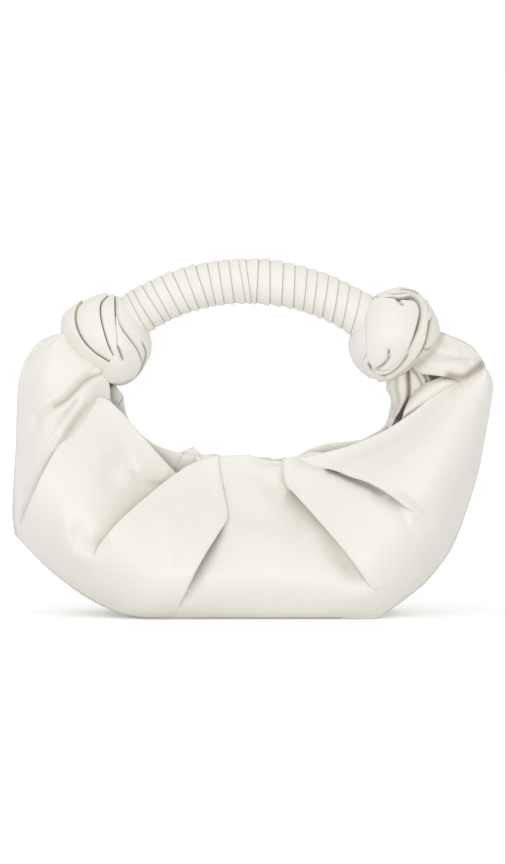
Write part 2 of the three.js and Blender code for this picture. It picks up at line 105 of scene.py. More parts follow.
def curve(points, count):
    """Evenly spaced points on a smooth line through the given points."""
    p = np.array(points, float)
    if len(p) == 2:
        return p[0] + (p[1] - p[0]) * np.linspace(0, 1, count)[:, None]
    steps = np.maximum(np.linalg.norm(np.diff(p[:, :2], axis=0), axis=1), 1e-6) ** 0.5
    knots = np.concatenate([[0], np.cumsum(steps)])
    slopes = np.zeros_like(p)
    slopes[1:-1] = (
        (p[1:-1] - p[:-2]) / steps[:-1, None] - (p[2:] - p[:-2]) / (steps[:-1] + steps[1:])[:, None]
    ) + (p[2:] - p[1:-1]) / steps[1:, None]
    slopes[0] = (p[1] - p[0]) / steps[0]
    slopes[-1] = (p[-1] - p[-2]) / steps[-1]
    fine = np.linspace(0, knots[-1], 40 * len(p))
    i = np.clip(np.searchsorted(knots, fine) - 1, 0, len(p) - 2)
    h = (knots[i + 1] - knots[i])[:, None]
    t = (fine - knots[i])[:, None] / h
    line = (
        (2 * t**3 - 3 * t**2 + 1) * p[i]
        + (t**3 - 2 * t**2 + t) * h * slopes[i]
        + (-2 * t**3 + 3 * t**2) * p[i + 1]
        + (t**3 - t**2) * h * slopes[i + 1]
    )
    run = run_along(line[:, :2])
    return points_at(np.linspace(0, run[-1], count), run, line)


def distance_to_line(points, line):
    """The least distance from each point to a polyline, and how far along it that is, from 0 to 1."""
    a, b = line[:-1], line[1:]
    d = b - a
    length = np.maximum((d**2).sum(1), 1e-9)
    rel = points[:, None, :] - a[None]
    t = np.clip((rel * d[None]).sum(2) / length[None], 0, 1)
    gap = np.linalg.norm(rel - t[..., None] * d[None], axis=2)
    near = gap.argmin(1)
    rows = np.arange(len(points))
    return gap[rows, near], (near + t[rows, near]) / len(a)


# A strip's depth runs from its lip to its edge on a curve. Where the strip is fullest, these are the
# shares that the lip's depth, the swell and the edge's depth have in it.
LIP_SHARE, SWELL_SHARE, EDGE_SHARE = 0.216, 0.441, 0.343
# How far across a strip its tuck begins and its lift ends
TUCK_FROM, LIFT_TO = 0.45, 0.4


def lay_strip(mouth, edge, left, right, columns, rows, swell, puff=0.0, tuck=None, lift=None):
    """One strip of leather between two pleat lines, as rows of (px, py, depth).

    mouth and edge are its top and bottom lines with depths, left and right its pleat lines.
    swell is the fullest depth at its left and right side, and puff rounds it out between them.
    tuck drops its right side under the next strip, and lift raises its left side over the last.
    """
    top, bottom = curve(mouth, columns), curve(edge, columns)
    first, last = curve(left, rows)[:, :2], curve(right, rows)[:, :2]
    u = np.linspace(0, 1, columns)[None, :, None]
    v = np.linspace(0, 1, rows)[:, None, None]
    flat = (1 - v) * top[None, :, :2] + v * bottom[None, :, :2]
    flat = flat + (1 - u) * first[:, None] + u * last[:, None]
    corners = (1 - u) * (1 - v) * first[0] + u * (1 - v) * last[0]
    flat = flat - corners - (1 - u) * v * first[-1] - u * v * last[-1]
    u, v = u[..., 0], v[..., 0]
    lip, out = top[None, :, 2], bottom[None, :, 2]
    full = swell[0] + (swell[1] - swell[0]) * smooth(u)
    swing = (full - LIP_SHARE * lip - EDGE_SHARE * out) / SWELL_SHARE
    depth = (1 - v) ** 3 * lip + 3 * (1 - v) ** 2 * v * lip + 3 * (1 - v) * v**2 * swing + v**3 * out
    depth = depth + puff * 4 * u * (1 - u) * np.sin(math.pi * v)
    if tuck:
        depth = depth - keyed(tuck, v) * smooth(u, TUCK_FROM, 1)
    if lift:
        depth = depth + keyed(lift, v) * (1 - smooth(u, 0, LIFT_TO))
    return np.concatenate([flat, depth[..., None]], axis=2)


# A pleat shorter than this, in pixels, has less of a fold, and its roll is at most this share of its rise.
FULL_FOLD, ROLL_SHARE = 3, 0.42


def fold_between(under, over, roll=1.5):
    """The hidden part of a knife pleat: back from the inner crease and round the fold's edge."""
    low, high = under[:, -1], over[:, 0]
    run = high[:, :2] - low[:, :2]
    length = np.maximum(np.linalg.norm(run, axis=1, keepdims=True), 1e-6)
    out = run / length * np.minimum(1, length / FULL_FOLD)
    rise = np.maximum(high[:, 2] - low[:, 2], 0)
    r = np.minimum(roll, ROLL_SHARE * rise)
    columns = []

    def add(share, push, depth):
        flat = low[:, :2] + run * share + out * (push * r / MM_PER_PIXEL)[:, None]
        columns.append(np.concatenate([flat, depth[:, None]], axis=1))

    # Up from the inner crease, then along under the strip that laps it and round that strip's edge
    for share, climb in ((-0.03, 0.25), (0.1, 0.6)):
        add(share, 0, low[:, 2] + climb * (rise - 2 * r))
    for share, push, drop in ((0.5, 0, 2.1), (0.97, 0, 2), (1, 0.6, 1.7), (1, 0.95, 1), (1, 0.7, 0.4)):
        add(share, push, high[:, 2] - drop * r)
    return np.stack(columns, axis=1)


def roll_over(line, out, roll, section):
    """Lines that follow an edge, each pushed out and dropped by so many radii of its roll."""
    return [
        np.concatenate([line[:, :2] + out * push * roll / MM_PER_PIXEL, line[:, 2:] - drop * roll], axis=1)
        for push, drop in section
    ]


def turned_edge(strip, reach, roll=1.5):
    """A fold along a strip's right side: round the edge and back under the strip."""
    edge, before = strip[:, -1], strip[:, -3]
    out = edge[:, :2] - before[:, :2]
    out /= np.maximum(np.linalg.norm(out, axis=1, keepdims=True), 1e-6)
    under = [(0.0, 2.0), (-reach / 2 / roll, 2.3), (-reach / roll, 2.6)]
    return np.stack(roll_over(edge, out, roll, [(0.7, 0.4), (0.95, 1.0), (0.6, 1.7), *under]), axis=1)


LINE_POINTS = 24
FOLD_REACH = 3


def stroke(sheet, line, width, height, tail=(0.15, 0.15)):
    """Raise or sink a soft ridge along a line, fading at its two ends."""
    path = curve(line, LINE_POINTS)[:, :2]
    reach = FOLD_REACH * width
    flat = sheet[..., :2].reshape(-1, 2)
    near = np.where(
        (flat[:, 0] > path[:, 0].min() - reach)
        & (flat[:, 0] < path[:, 0].max() + reach)
        & (flat[:, 1] > path[:, 1].min() - reach)
        & (flat[:, 1] < path[:, 1].max() + reach)
    )[0]
    if not len(near):
        return
    gap, along = distance_to_line(flat[near], path)
    fade = smooth(along, 0, max(tail[0], 1e-3)) * (1 - smooth(along, 1 - max(tail[1], 1e-3), 1))
    depth = sheet[..., 2].reshape(-1).copy()
    depth[near] += height * fade * np.exp(-((gap / width) ** 2))
    sheet[..., 2] = depth.reshape(sheet.shape[:2])


def soft_folds(sheet, folds):
    """Lay folds in a sheet: each a line, a width in pixels, a height in millimetres and maybe tails."""
    for fold in folds:
        stroke(sheet, *fold)


def lip_rows(sheet, rows, thick=1.1):
    """The rolled lip at a sheet's mouth and the facing that runs down inside it, top row last."""
    top = sheet[0]
    rise = top[:, :2] - sheet[2][:, :2]
    length = np.linalg.norm(rise, axis=1, keepdims=True)
    rise /= np.maximum(length, 1e-6)
    thick = thick * np.minimum(1, length / 1.5)
    rolled = roll_over(top, rise, thick, ((0.75, 0.35), (1.05, 1.0), (0.75, 1.65), (0.0, 2.0)))
    inside = [roll_over(sheet[k], rise, thick, [(0, 2.2)])[0] for k in range(1, rows, 3)]
    return np.stack(inside[::-1] + rolled[::-1])


# Columns of a strip that move when its pleat opens out
RELEASE_REACH = 32


def release(under, over, start, end):
    """Let a pleat open out: from row share start to end its two sides come together."""
    rows = len(under)
    share = smooth(np.linspace(0, 1, rows), start, end)[:, None]
    fade = smooth(np.linspace(0, 1, RELEASE_REACH))[None, :]
    gap = over[:, 0] - under[:, -1]
    under[:, -RELEASE_REACH:] += gap[:, None, :] * (share * fade)[..., None]


# Grid lines in from a border over which smoothing grows to its full strength
SOFT_BORDER = 8
SOFTENING, RELAX_TIMES = 0.8, 160


def soften(sheet, times):
    """Smooth a sheet's depth, with nothing moved at its border."""
    depth = sheet[..., 2]
    rows, columns = (np.minimum(np.arange(n), np.arange(n)[::-1]) for n in depth.shape)
    weight = SOFTENING * smooth(rows, 0, SOFT_BORDER)[:, None] * smooth(columns, 0, SOFT_BORDER)[None]
    for _ in range(times):
        around = depth.copy()
        around[1:-1, 1:-1] = (depth[:-2, 1:-1] + depth[2:, 1:-1] + depth[1:-1, :-2] + depth[1:-1, 2:]) / 4
        depth += weight * (around - depth)


def relax(sheet, first_row, columns, ramp):
    """Even out a sheet's rows from first_row on, where a pleat has let go, so that no crease is left."""
    c0, c1 = columns
    edge = sheet[-1, c0:c1].copy()
    run = run_along(edge)
    sheet[-1, c0:c1] = points_at(np.linspace(0, run[-1], len(edge)), run, edge)
    part = sheet[first_row:, c0:c1]
    side = np.minimum(np.arange(c1 - c0), np.arange(c1 - c0)[::-1])[None]
    weight = smooth(np.arange(len(part))[:, None], 0, ramp) * smooth(side, 0, SOFT_BORDER)
    weight = weight[:-1, 1:-1, None]
    for _ in range(RELAX_TIMES):
        across = (part[:-1, :-2] + part[:-1, 2:]) / 2
        part[:-1, 1:-1] += weight * (across - part[:-1, 1:-1])


NARROW_END = 0.4
RIBBON_COLUMNS = 17
RIBBON_ROLL = ((0.7, 0.3), (1.0, 1.0), (0.7, 1.7), (0.0, 2.2), (-3.0, 3.0))


def ribbon(one_side, other_side, rows, crown, edges=("roll", "roll"), roll=1.2):
    """A narrow fold between two lines of (px, py, depth), swollen between them.

    An edge that is "roll" turns under, and one that is "plain" ends on its line. Where the fold
    is narrower than NARROW_END of its widest, it thins with its width.
    """
    a, b = curve(one_side, rows), curve(other_side, rows)
    u = np.linspace(0, 1, RIBBON_COLUMNS)
    body = a[:, None] * (1 - u[None, :, None]) + b[:, None] * u[None, :, None]
    across = (b - a)[:, :2]
    wide = np.linalg.norm(across, axis=1, keepdims=True)
    across = across / np.maximum(wide, 1e-6)
    full = np.minimum(1, wide / (NARROW_END * wide.max()))
    body[..., 2] += crown * full * np.sin(math.pi * u)[None] ** 0.7
    roll = roll * full
    parts = [body]
    if edges[0] == "roll":
        parts.insert(0, np.stack(roll_over(body[:, 0], -across, roll, RIBBON_ROLL)[::-1], axis=1))
    if edges[1] == "roll":
        parts.append(np.stack(roll_over(body[:, -1], across, roll, RIBBON_ROLL), axis=1))
    return np.concatenate(parts, axis=1)


# Points closer than this, in millimetres, become one
MERGE_WITHIN = 0.03
# Mean rise of a point's neighbours where a fold's shade begins and where it is full
FOLD_SLOPES = (0.1, 0.5)


def grid_faces(rows, columns, flip):
    i, j = np.meshgrid(np.arange(rows - 1), np.arange(columns - 1), indexing="ij")
    a = (i * columns + j).ravel()
    quad = [a, a + columns, a + columns + 1, a + 1]
    return np.stack(quad[::-1] if flip else quad, axis=1)


def concave(mesh):
    """How deep in a fold each point of a mesh lies, from 0 to 1."""
    count = len(mesh.vertices)
    place, normal = np.empty(count * 3), np.empty(count * 3)
    mesh.vertices.foreach_get("co", place)
    mesh.vertices.foreach_get("normal", normal)
    ends = np.empty(len(mesh.edges) * 2, dtype=np.int32)
    mesh.edges.foreach_get("vertices", ends)
    place, normal, ends = place.reshape(-1, 3), normal.reshape(-1, 3), ends.reshape(-1, 2)
    step = place[ends[:, 1]] - place[ends[:, 0]]
    step /= np.linalg.norm(step, axis=1, keepdims=True) + 1e-12
    rise, links = np.zeros(count), np.zeros(count)
    for end, sign in ((0, 1), (1, -1)):
        np.add.at(rise, ends[:, end], sign * np.sum(step * normal[ends[:, end]], axis=1))
        np.add.at(links, ends[:, end], 1)
    return smooth(rise / np.maximum(links, 1), *FOLD_SLOPES)


def make_mesh(name, points, faces, material, painted_shade=None):
    """A smooth piece from points in millimetres, with points that coincide made one.

    Each point's painted shade, from 0 to 1, is the deeper of the one given and that of the fold it lies in.
    """
    mesh = bpy.data.meshes.new(name)
    mesh.from_pydata((np.asarray(points) * MM).tolist(), [], np.asarray(faces).tolist())
    if painted_shade is not None:
        shade = mesh.attributes.new("painted_shade", "FLOAT", "POINT")
        shade.data.foreach_set("value", np.asarray(painted_shade).ravel())
    shape = bmesh.new()
    shape.from_mesh(mesh)
    bmesh.ops.remove_doubles(shape, verts=shape.verts, dist=MERGE_WITHIN * MM)
    shape.to_mesh(mesh)
    shape.free()
    mesh.validate()
    deep = concave(mesh)
    if painted_shade is None:
        mesh.attributes.new("painted_shade", "FLOAT", "POINT")
    else:
        given = np.empty(len(deep))
        mesh.attributes["painted_shade"].data.foreach_get("value", given)
        deep = np.maximum(deep, given)
    mesh.attributes["painted_shade"].data.foreach_set("value", deep)
    mesh.materials.append(material)
    mesh.polygons.foreach_set("use_smooth", [True] * len(mesh.polygons))
    piece = bpy.data.objects.new(name, mesh)
    bpy.context.collection.objects.link(piece)
    return piece


def shade_along(grids, marks):
    """Each point's painted shade from marks of (grid, line, width in pixels, painted shade at the line)."""
    painted_shade = [np.zeros(grid.shape[:2]) for grid in grids]
    for which, line, width, deep in marks:
        gap, _ = distance_to_line(grids[which][..., :2].reshape(-1, 2), curve(line, LINE_POINTS))
        shade = deep * np.exp(-((gap / width) ** 2))
        painted_shade[which] = np.maximum(painted_shade[which], shade.reshape(painted_shade[which].shape))
    return np.concatenate([part.ravel() for part in painted_shade])


def join_parts(parts):
    """The points and faces of several parts as those of one."""
    points, faces = zip(*parts)
    starts = np.cumsum([0] + [len(part) for part in points])
    return np.concatenate(points), np.concatenate([part + start for part, start in zip(faces, starts)])


def make_sheet(name, grids, side, material, thick=0.0, painted_shade=None):
    """One piece from grids of (px, py, depth), each seen from outside the bag."""
    parts = []
    for grid in grids:
        px, py, depth = grid.reshape(-1, 3).T
        parts.append((to_row(px, py, side * depth), grid_faces(*grid.shape[:2], side == BACK)))
    piece = make_mesh(name, *join_parts(parts), material, painted_shade)
    if thick:
        thicken(piece, thick)
    return piece


def thicken(piece, thick):
    """Give a sheet its thickness, in millimetres, on its inner side."""
    solid = piece.modifiers.new("thickness", "SOLIDIFY")
    solid.thickness = thick * MM
    solid.offset = -1
    bpy.context.view_layer.objects.active = piece
    bpy.ops.object.select_all(action="DESELECT")
    piece.select_set(True)
    bpy.ops.object.modifier_apply(modifier=solid.name)
    # Nothing reaches below the floor the bag stands on.
    for vertex in piece.data.vertices:
        vertex.co.z = max(vertex.co.z, 0)


# Materials


def set_inputs(tree, node, values):
    """Give a node's inputs their values, or link in the sockets that the values come from."""
    for name, value in values.items():
        if isinstance(value, bpy.types.NodeSocket):
            tree.links.new(value, node.inputs[name])
        else:
            node.inputs[name].default_value = value


def add_node(tree, kind, values, **settings):
    node = tree.nodes.new(f"ShaderNode{kind}")
    for name, value in settings.items():
        setattr(node, name, value)
    set_inputs(tree, node, values)
    return node


def add_noise(tree, vector, scale, detail=2.0, rough=0.5):
    values = {"Vector": vector, "Scale": scale, "Detail": detail, "Roughness": rough}
    return add_node(tree, "TexNoise", values).outputs["Fac"]


def add_math(tree, operation, a, b):
    return add_node(tree, "Math", {0: a, 1: b}, operation=operation).outputs[0]


def add_shares(tree, a, share_a, b, share_b):
    """Two values mixed by their shares."""
    one, other = add_math(tree, "MULTIPLY", a, share_a), add_math(tree, "MULTIPLY", b, share_b)
    return add_math(tree, "ADD", one, other)


def effect_group(name, label, value):
    """A shader node group with a coordinate and one value in, and Tone and Height out."""
    group = bpy.data.node_groups.new(name, "ShaderNodeTree")
    group.interface.new_socket("Vector", in_out="INPUT", socket_type="NodeSocketVector")
    given = group.interface.new_socket(label, in_out="INPUT", socket_type="NodeSocketFloat")
    given.default_value = value
    for output in ("Tone", "Height"):
        group.interface.new_socket(output, in_out="OUTPUT", socket_type="NodeSocketFloat")
    return group, group.nodes.new("NodeGroupInput"), group.nodes.new("NodeGroupOutput")


# Scales of the effects, in features to the metre
PEBBLES, PORES, WRINKLES, TONE_DRIFT, SLUBS, CLOUDS = 900, 2600, 160, 14, 240, 90


def grain_group():
    """Fine pebbled grain with a slow drift of tone, for leather."""
    group, given, out = effect_group("leather grain", "Pores", 0.35)
    vector = given.outputs["Vector"]
    pebbles = add_node(group, "TexVoronoi", {"Vector": vector, "Scale": PEBBLES}, feature="SMOOTH_F1")
    wrinkles = add_noise(group, vector, WRINKLES, 4, 0.6)
    pits = add_math(group, "MULTIPLY", add_noise(group, vector, PORES), given.outputs["Pores"])
    height = add_math(group, "ADD", pebbles.outputs["Distance"], pits)
    height = add_math(group, "ADD", height, add_math(group, "MULTIPLY", wrinkles, 1.2))
    tone = add_shares(group, add_noise(group, vector, TONE_DRIFT), 0.7, wrinkles, 0.3)
    set_inputs(group, out, {"Tone": tone, "Height": height})
    return group


def weave_group():
    """A fine twill: threads both ways, each a little uneven."""
    group, given, out = effect_group("twill weave", "Threads", 1500.0)
    vector = given.outputs["Vector"]
    heights = []
    for turn in (0.6, -0.6):
        turned = add_node(group, "Mapping", {"Vector": vector, "Rotation": (0.2, turn, 0.3)})
        threads = {"Vector": turned.outputs["Vector"], "Scale": given.outputs["Threads"]}
        wave = add_node(group, "TexWave", {**threads, "Distortion": 1.5, "Detail": 1.0})
        heights.append(wave.outputs["Fac"])
    height = add_math(group, "MAXIMUM", *heights)
    tone = add_shares(group, height, 0.5, add_noise(group, vector, SLUBS, 3), 0.5)
    set_inputs(group, out, {"Tone": tone, "Height": height})
    return group


def scuff_group():
    """Fine uneven scuffing, for metal and board."""
    group, given, out = effect_group("scuffing", "Size", 900.0)
    vector = given.outputs["Vector"]
    streaks = add_noise(group, vector, given.outputs["Size"], 3)
    tone = add_shares(group, streaks, 0.5, add_noise(group, vector, CLOUDS), 0.5)
    set_inputs(group, out, {"Tone": tone, "Height": streaks})
    return group


def make_painted_shade_group():
    """Darkens a colour in the folds and grooves: painted shade."""
    group = bpy.data.node_groups.new("painted fold shade", "ShaderNodeTree")
    for label, way in (("Colour", "INPUT"), ("Tint", "INPUT"), ("Colour", "OUTPUT")):
        group.interface.new_socket(label, in_out=way, socket_type="NodeSocketColor")
    given, result = group.nodes.new("NodeGroupInput"), group.nodes.new("NodeGroupOutput")
    depth = add_node(group, "Attribute", {}, attribute_name="painted_shade")
    share = add_math(group, "POWER", depth.outputs["Fac"], CREASE_SHARPNESS)
    colours = {"Color1": given.outputs["Colour"], "Color2": given.outputs["Tint"]}
    mix = add_node(group, "MixRGB", {"Fac": share, **colours}, blend_type="MULTIPLY")
    set_inputs(group, result, {"Colour": mix.outputs["Color"]})
    return group


# Painted shade in folds and grooves: the colour it darkens towards, and the power that keeps it faint in
# shallow folds.
PAINTED_SHADE_COLOUR = (0.30, 0.23, 0.15, 1)
CREASE_SHARPNESS = 1.6
# Tone values at which a material is at its darkest and its lightest
DARK_AT, LIGHT_AT = 0.3, 0.7


def finish_material(name, group, dark, light, rough, bump, settings):
    """A material whose colour, roughness and bump all come from one effect group."""
    material = bpy.data.materials.new(name)
    material.use_nodes = True
    tree = material.node_tree
    place = add_node(tree, "TexCoord", {})
    effect = add_node(tree, "Group", {"Vector": place.outputs["Object"]}, node_tree=group)
    tone = effect.outputs["Tone"]
    colour = add_node(tree, "ValToRGB", {"Fac": tone})
    for stop, at, shade in zip(colour.color_ramp.elements, (DARK_AT, LIGHT_AT), (dark, light)):
        stop.position, stop.color = at, (*shade, 1)
    # Painted shade darkens the colour in folds and grooves.
    shade_inputs = {"Colour": colour.outputs["Color"], "Tint": PAINTED_SHADE_COLOUR}
    deepen = add_node(tree, "Group", shade_inputs, node_tree=painted_shade_group)
    gloss = add_node(tree, "MapRange", {"Value": tone, "To Min": rough[0], "To Max": rough[1]})
    height = {"Height": effect.outputs["Height"], "Strength": bump[0], "Distance": bump[1]}
    relief = add_node(tree, "Bump", height)
    set_inputs(tree, tree.nodes["Principled BSDF"], {
        "Base Color": deepen.outputs["Colour"],
        "Roughness": gloss.outputs["Result"],
        "Normal": relief.outputs["Normal"],
        **settings,
    })
    return material


grain, weave, scuffing, painted_shade_group = grain_group(), weave_group(), scuff_group(), make_painted_shade_group()
ivory = finish_material(
    "ivory leather", grain, (0.82, 0.80, 0.735), (0.86, 0.84, 0.775), (0.5, 0.4), (0.25, 0.00006),
    {"Specular IOR Level": 0.4, "Sheen Weight": 0.05, "Sheen Roughness": 0.5},
)
lining_cloth = finish_material(
    "lining twill", weave, (0.56, 0.50, 0.40), (0.66, 0.60, 0.49), (0.85, 0.75), (0.4, 0.0001),
    {"Specular IOR Level": 0.25, "Sheen Weight": 0.2, "Sheen Roughness": 0.6},
)
thread = finish_material(
    "ivory thread", weave, (0.80, 0.78, 0.70), (0.87, 0.85, 0.78), (0.7, 0.55), (0.3, 0.0001),
    {"Sheen Weight": 0.2},
)
foam = finish_material(
    "handle foam", grain, (0.72, 0.68, 0.56), (0.80, 0.76, 0.65), (0.95, 0.85), (0.5, 0.0002),
    {"Specular IOR Level": 0.2}
)
brass = finish_material(
    "pale brass", scuffing, (0.72, 0.56, 0.30), (0.83, 0.68, 0.42), (0.36, 0.22), (0.08, 0.00004),
    {"Metallic": 1.0}
)
steel = finish_material(
    "spring steel", scuffing, (0.42, 0.42, 0.43), (0.56, 0.56, 0.57), (0.4, 0.26), (0.08, 0.00004),
    {"Metallic": 1.0}
)
board = finish_material(
    "grey board", scuffing, (0.34, 0.32, 0.29), (0.42, 0.40, 0.36), (0.9, 0.8), (0.3, 0.0001), {}
)

# The outline of the bag, from the left shoulder round the base to the right shoulder

LEFT_OUTLINE = [
    (62, 333, 0), (50, 336, 0), (39, 342, 0), (31, 351, 0), (24, 363, 0), (19, 380, 0), (17, 405, 0),
    (15.7, 445, 0), (13.2, 485, 0), (12, 515, 0), (14, 534, 0),
]
LEFT_TOE = [(14, 534, 0), (30, 551, 3), (45, 566, 7), (62, 580, 12)]
LEFT_BASE = [
    (62, 580, 12), (82, 594, 20), (102, 605, 28), (124, 613.5, 35), (146, 617.2, 38), (172, 617.3, 38),
]
MIDDLE_BASE = [(160, 617.3, 38), (215, 617.3, 38), (330, 617.3, 38), (374, 617, 37.5), (388, 610.5, 32)]
RIGHT_BASE = [(388, 610.5, 32), (407, 597, 21), (425, 583, 11), (440, 566, 4), (450, 552, 0)]
RIGHT_OUTLINE = [
    (450, 552, 0), (458, 535, 0), (466, 513, 0), (472, 495, 0), (478, 475, 0), (484, 445, 0),
    (488.5, 420, 0), (492, 398, 0), (493, 384, 0), (490, 374, 0), (484.5, 366, 0),
]

# The shoulder's top, from the right end up to the knot
SHOULDER_RIDGE = [
    (482, 362, -0.6), (477, 354, -0.6), (472, 348, -0.6), (464, 342.5, -0.6), (452, 337.5, -0.6),
    (443, 334, 0),
]

ROWS = 110
LIP_ROWS = 22
LEATHER = 0.9

# Front, left of the middle pleat: strips A to C

strip_a = lay_strip(
    mouth=[(84, 330, 1.2), (88, 348, 13), (97, 364, 17), (106, 377, 16), (109, 386, 13), (110, 402, 10)],
    edge=LEFT_OUTLINE,
    left=[(84, 330), (74, 331), (62, 333)],
    right=[(110, 402), (95, 428), (78, 455), (63, 481), (43, 513), (24, 532), (14, 534)],
    columns=100, rows=ROWS, swell=(10, 38), puff=2,
    tuck=[(0, 3), (0.25, 6), (0.7, 7.5), (0.9, 6), (1, 0)],
)
strip_b = lay_strip(
    mouth=[
        (97, 398.5, 14), (104.5, 399, 13), (119.4, 411.6, 12.5), (137, 431.5, 11), (152, 449, 10),
        (176, 474.5, 8), (196, 490, 7),
    ],
    edge=LEFT_TOE,
    left=[
        (97, 398.5), (84.6, 409), (74.6, 424), (64, 441.5), (53.5, 459), (42.3, 481), (32.3, 503.5),
        (20, 528.5), (14, 534),
    ],
    right=[
        (196, 490), (182, 500), (160, 517), (138, 534), (116, 551), (100, 561), (86, 569), (72, 577),
        (62, 580),
    ],
    columns=96, rows=ROWS, swell=(38, 52), puff=3,
    tuck=[(0, 3), (0.3, 7), (0.6, 6), (0.8, 2), (1, 0)],
)
strip_c = lay_strip(
    mouth=[(212, 457, 10), (214.5, 457, 10), (217, 457, 10)],
    edge=LEFT_BASE,
    left=[
        (212, 457), (199, 462.5), (176, 475), (149, 496.5), (119, 524), (100, 546), (87, 561), (74, 573),
        (62, 580),
    ],
    right=[
        (217, 457), (219.5, 478), (224, 499), (226, 516.5), (216, 534), (204, 553), (191.5, 576),
        (179, 603), (172, 617.3),
    ],
    columns=70, rows=ROWS, swell=(56, 59), puff=1,
)

# Front, right of the middle pleat: strips D to F

strip_d = lay_strip(
    mouth=[
        (196, 458, 7.5), (228, 457, 7.5), (250, 456.5, 7.5), (266, 461, 7.5), (285, 463, 7.5),
        (300, 464, 7),
    ],
    edge=MIDDLE_BASE,
    left=[(196, 458), (201, 490), (206, 520), (194, 540), (180, 565), (168, 590), (160, 617.3)],
    right=[
        (300, 464), (304, 485), (316, 499), (338, 523), (359, 551), (376, 577), (386, 599), (388, 610.5),
    ],
    columns=100, rows=ROWS, swell=(54, 54), puff=0,
    tuck=[(0, 2), (0.2, 6), (0.6, 8), (0.85, 2), (1, 0)],
    lift=[(0, -1), (0.4, -2), (0.6, -5), (0.82, -2.5), (0.95, 0), (1, 0)],
)
strip_e = lay_strip(
    mouth=[(285, 460, 10), (297, 457, 9), (312, 453, 7)],
    edge=RIGHT_BASE,
    left=[
        (285, 460), (285, 473), (288.5, 485), (296, 493.5), (312, 511), (330, 531.5), (347, 551.5),
        (360, 569), (376, 593), (388, 610.5),
    ],
    right=[(312, 453), (348, 456), (378, 464), (403, 480), (424, 502), (440, 525), (448, 542), (450, 552)],
    columns=76, rows=ROWS, swell=(57, 44), puff=3,
    tuck=[(0, 3), (0.25, 9), (0.5, 5), (0.8, 1), (1, 0)],
)
strip_f = lay_strip(
    mouth=[
        (296, 460, 9), (325, 453, 10), (353, 445, 11), (385, 431, 12), (410.7, 414.5, 12),
        (436, 394.7, 10), (463, 378, 6), (484.5, 366, 1),
    ],
    edge=RIGHT_OUTLINE,
    left=[
        (296, 460), (318, 466), (335, 469), (350, 475), (369.5, 481.5), (397, 498.5), (424, 523.5),
        (441, 543), (450, 552),
    ],
    right=[(484.5, 366), (484.5, 366)],
    columns=104, rows=ROWS, swell=(50, 9), puff=4,
)

# The front's soft folds, strip by strip
soft_folds(strip_a, [
    ([(101, 373), (87, 379), (77, 389), (67, 399), (50, 409), (40, 417), (30, 429)], 3.8, -4.2),
    ([(98, 367), (84, 372), (71, 383), (59, 394), (44, 404), (33, 416)], 7, 2.4),
    ([(104, 382), (90, 386), (79, 397), (67, 408), (51, 419), (37, 434)], 5, 2.6),
    ([(104, 377), (88, 384), (82, 392), (75, 407), (60, 429), (38, 464), (30, 489), (22, 509)], 3.6, -2.6),
    ([(106, 388), (95, 394), (84, 408), (68, 434), (50, 464), (34, 494)], 4.5, 1.4),
    ([(88, 404), (76, 422), (58, 452), (42, 480), (28, 506), (19, 525)], 4.5, -3.6),
    ([(57, 337), (51, 343), (38, 349.5), (27, 362), (23.6, 374)], 2.0, -1.6),
    ([(61, 339), (52, 347), (40, 354), (31, 366)], 3.5, 1.0),
    ([(70, 338), (58, 352), (46, 374), (40, 392)], 8, 1.4),
])
soft_folds(strip_b, [
    ([(136, 456), (122, 461), (113, 471), (114, 490)], 12, -3.4),
    ([(133, 474), (127, 482), (125, 494)], 9, 0.8),
    ([(131, 469), (141, 479), (153, 485), (176, 484.5)], 3.0, -2.2),
    ([(139, 461), (148, 471), (158, 477), (172, 477)], 8, 1.0),
])
soft_folds(strip_c, [
    ([(112, 538), (143, 519), (159, 515), (169, 525), (170, 560), (174, 592)], 9, 0.9),
    ([(152, 532), (162, 550), (164, 582)], 8, -0.8),
    ([(216, 460), (218, 480), (222, 500)], 5, 1.0),
])
soft_folds(strip_d, [
    ([(220, 520), (210, 540), (196, 566), (184, 592), (176, 610)], 8, -4.5, (0.15, 0.45)),
    ([(228, 508), (260, 516), (290, 520), (312, 522)], 14, -2.2),
    ([(288, 490), (304, 507), (322, 533)], 11, -4.0, (0.15, 0.5)),
    ([(316, 526), (334, 546), (350, 567), (362, 584)], 10, -4.0, (0.6, 0.25)),
    ([(252, 459), (266, 463.5), (284, 468)], 2.2, -1.2),
    ([(250, 464), (266, 471), (284, 479)], 5, 1.2),
])
soft_folds(strip_e, [
    ([(322, 467.5), (336, 470.5), (350, 477), (370, 485), (386, 493)], 4.5, -6.5),
    ([(370, 487), (392, 500), (410, 514), (428, 534)], 8, -2.0),
    ([(330, 488), (360, 498), (392, 518), (420, 548)], 10, 1.6),
    ([(366, 588), (376, 594), (388, 604)], 4, -1.0),
])
soft_folds(strip_f, [
    ([(424, 522), (437, 536), (443, 546), (440, 556)], 5, 1.2),
    ([(478, 372), (470, 400), (462, 440), (452, 480)], 12, -1.2),
    ([(484, 366), (489, 380), (487, 410)], 4, 1.0),
])

release(strip_a, strip_b, 0.92, 0.995)
release(strip_b, strip_c, 0.68, 0.84)
release(strip_d, strip_e, 0.8, 0.93)
release(strip_e, strip_f, 0.5, 0.74)


def join_pleats(strips):
    """Strips side by side in one sheet, with a knife pleat between each two."""
    parts = [strips[0]]
    for under, over in zip(strips, strips[1:]):
        parts += [fold_between(under, over), over]
    return np.concatenate(parts, axis=1)


def with_lip(sheet):
    return np.concatenate([lip_rows(sheet, LIP_ROWS), sheet])


FOLD_COLUMNS = fold_between(strip_a, strip_b).shape[1]


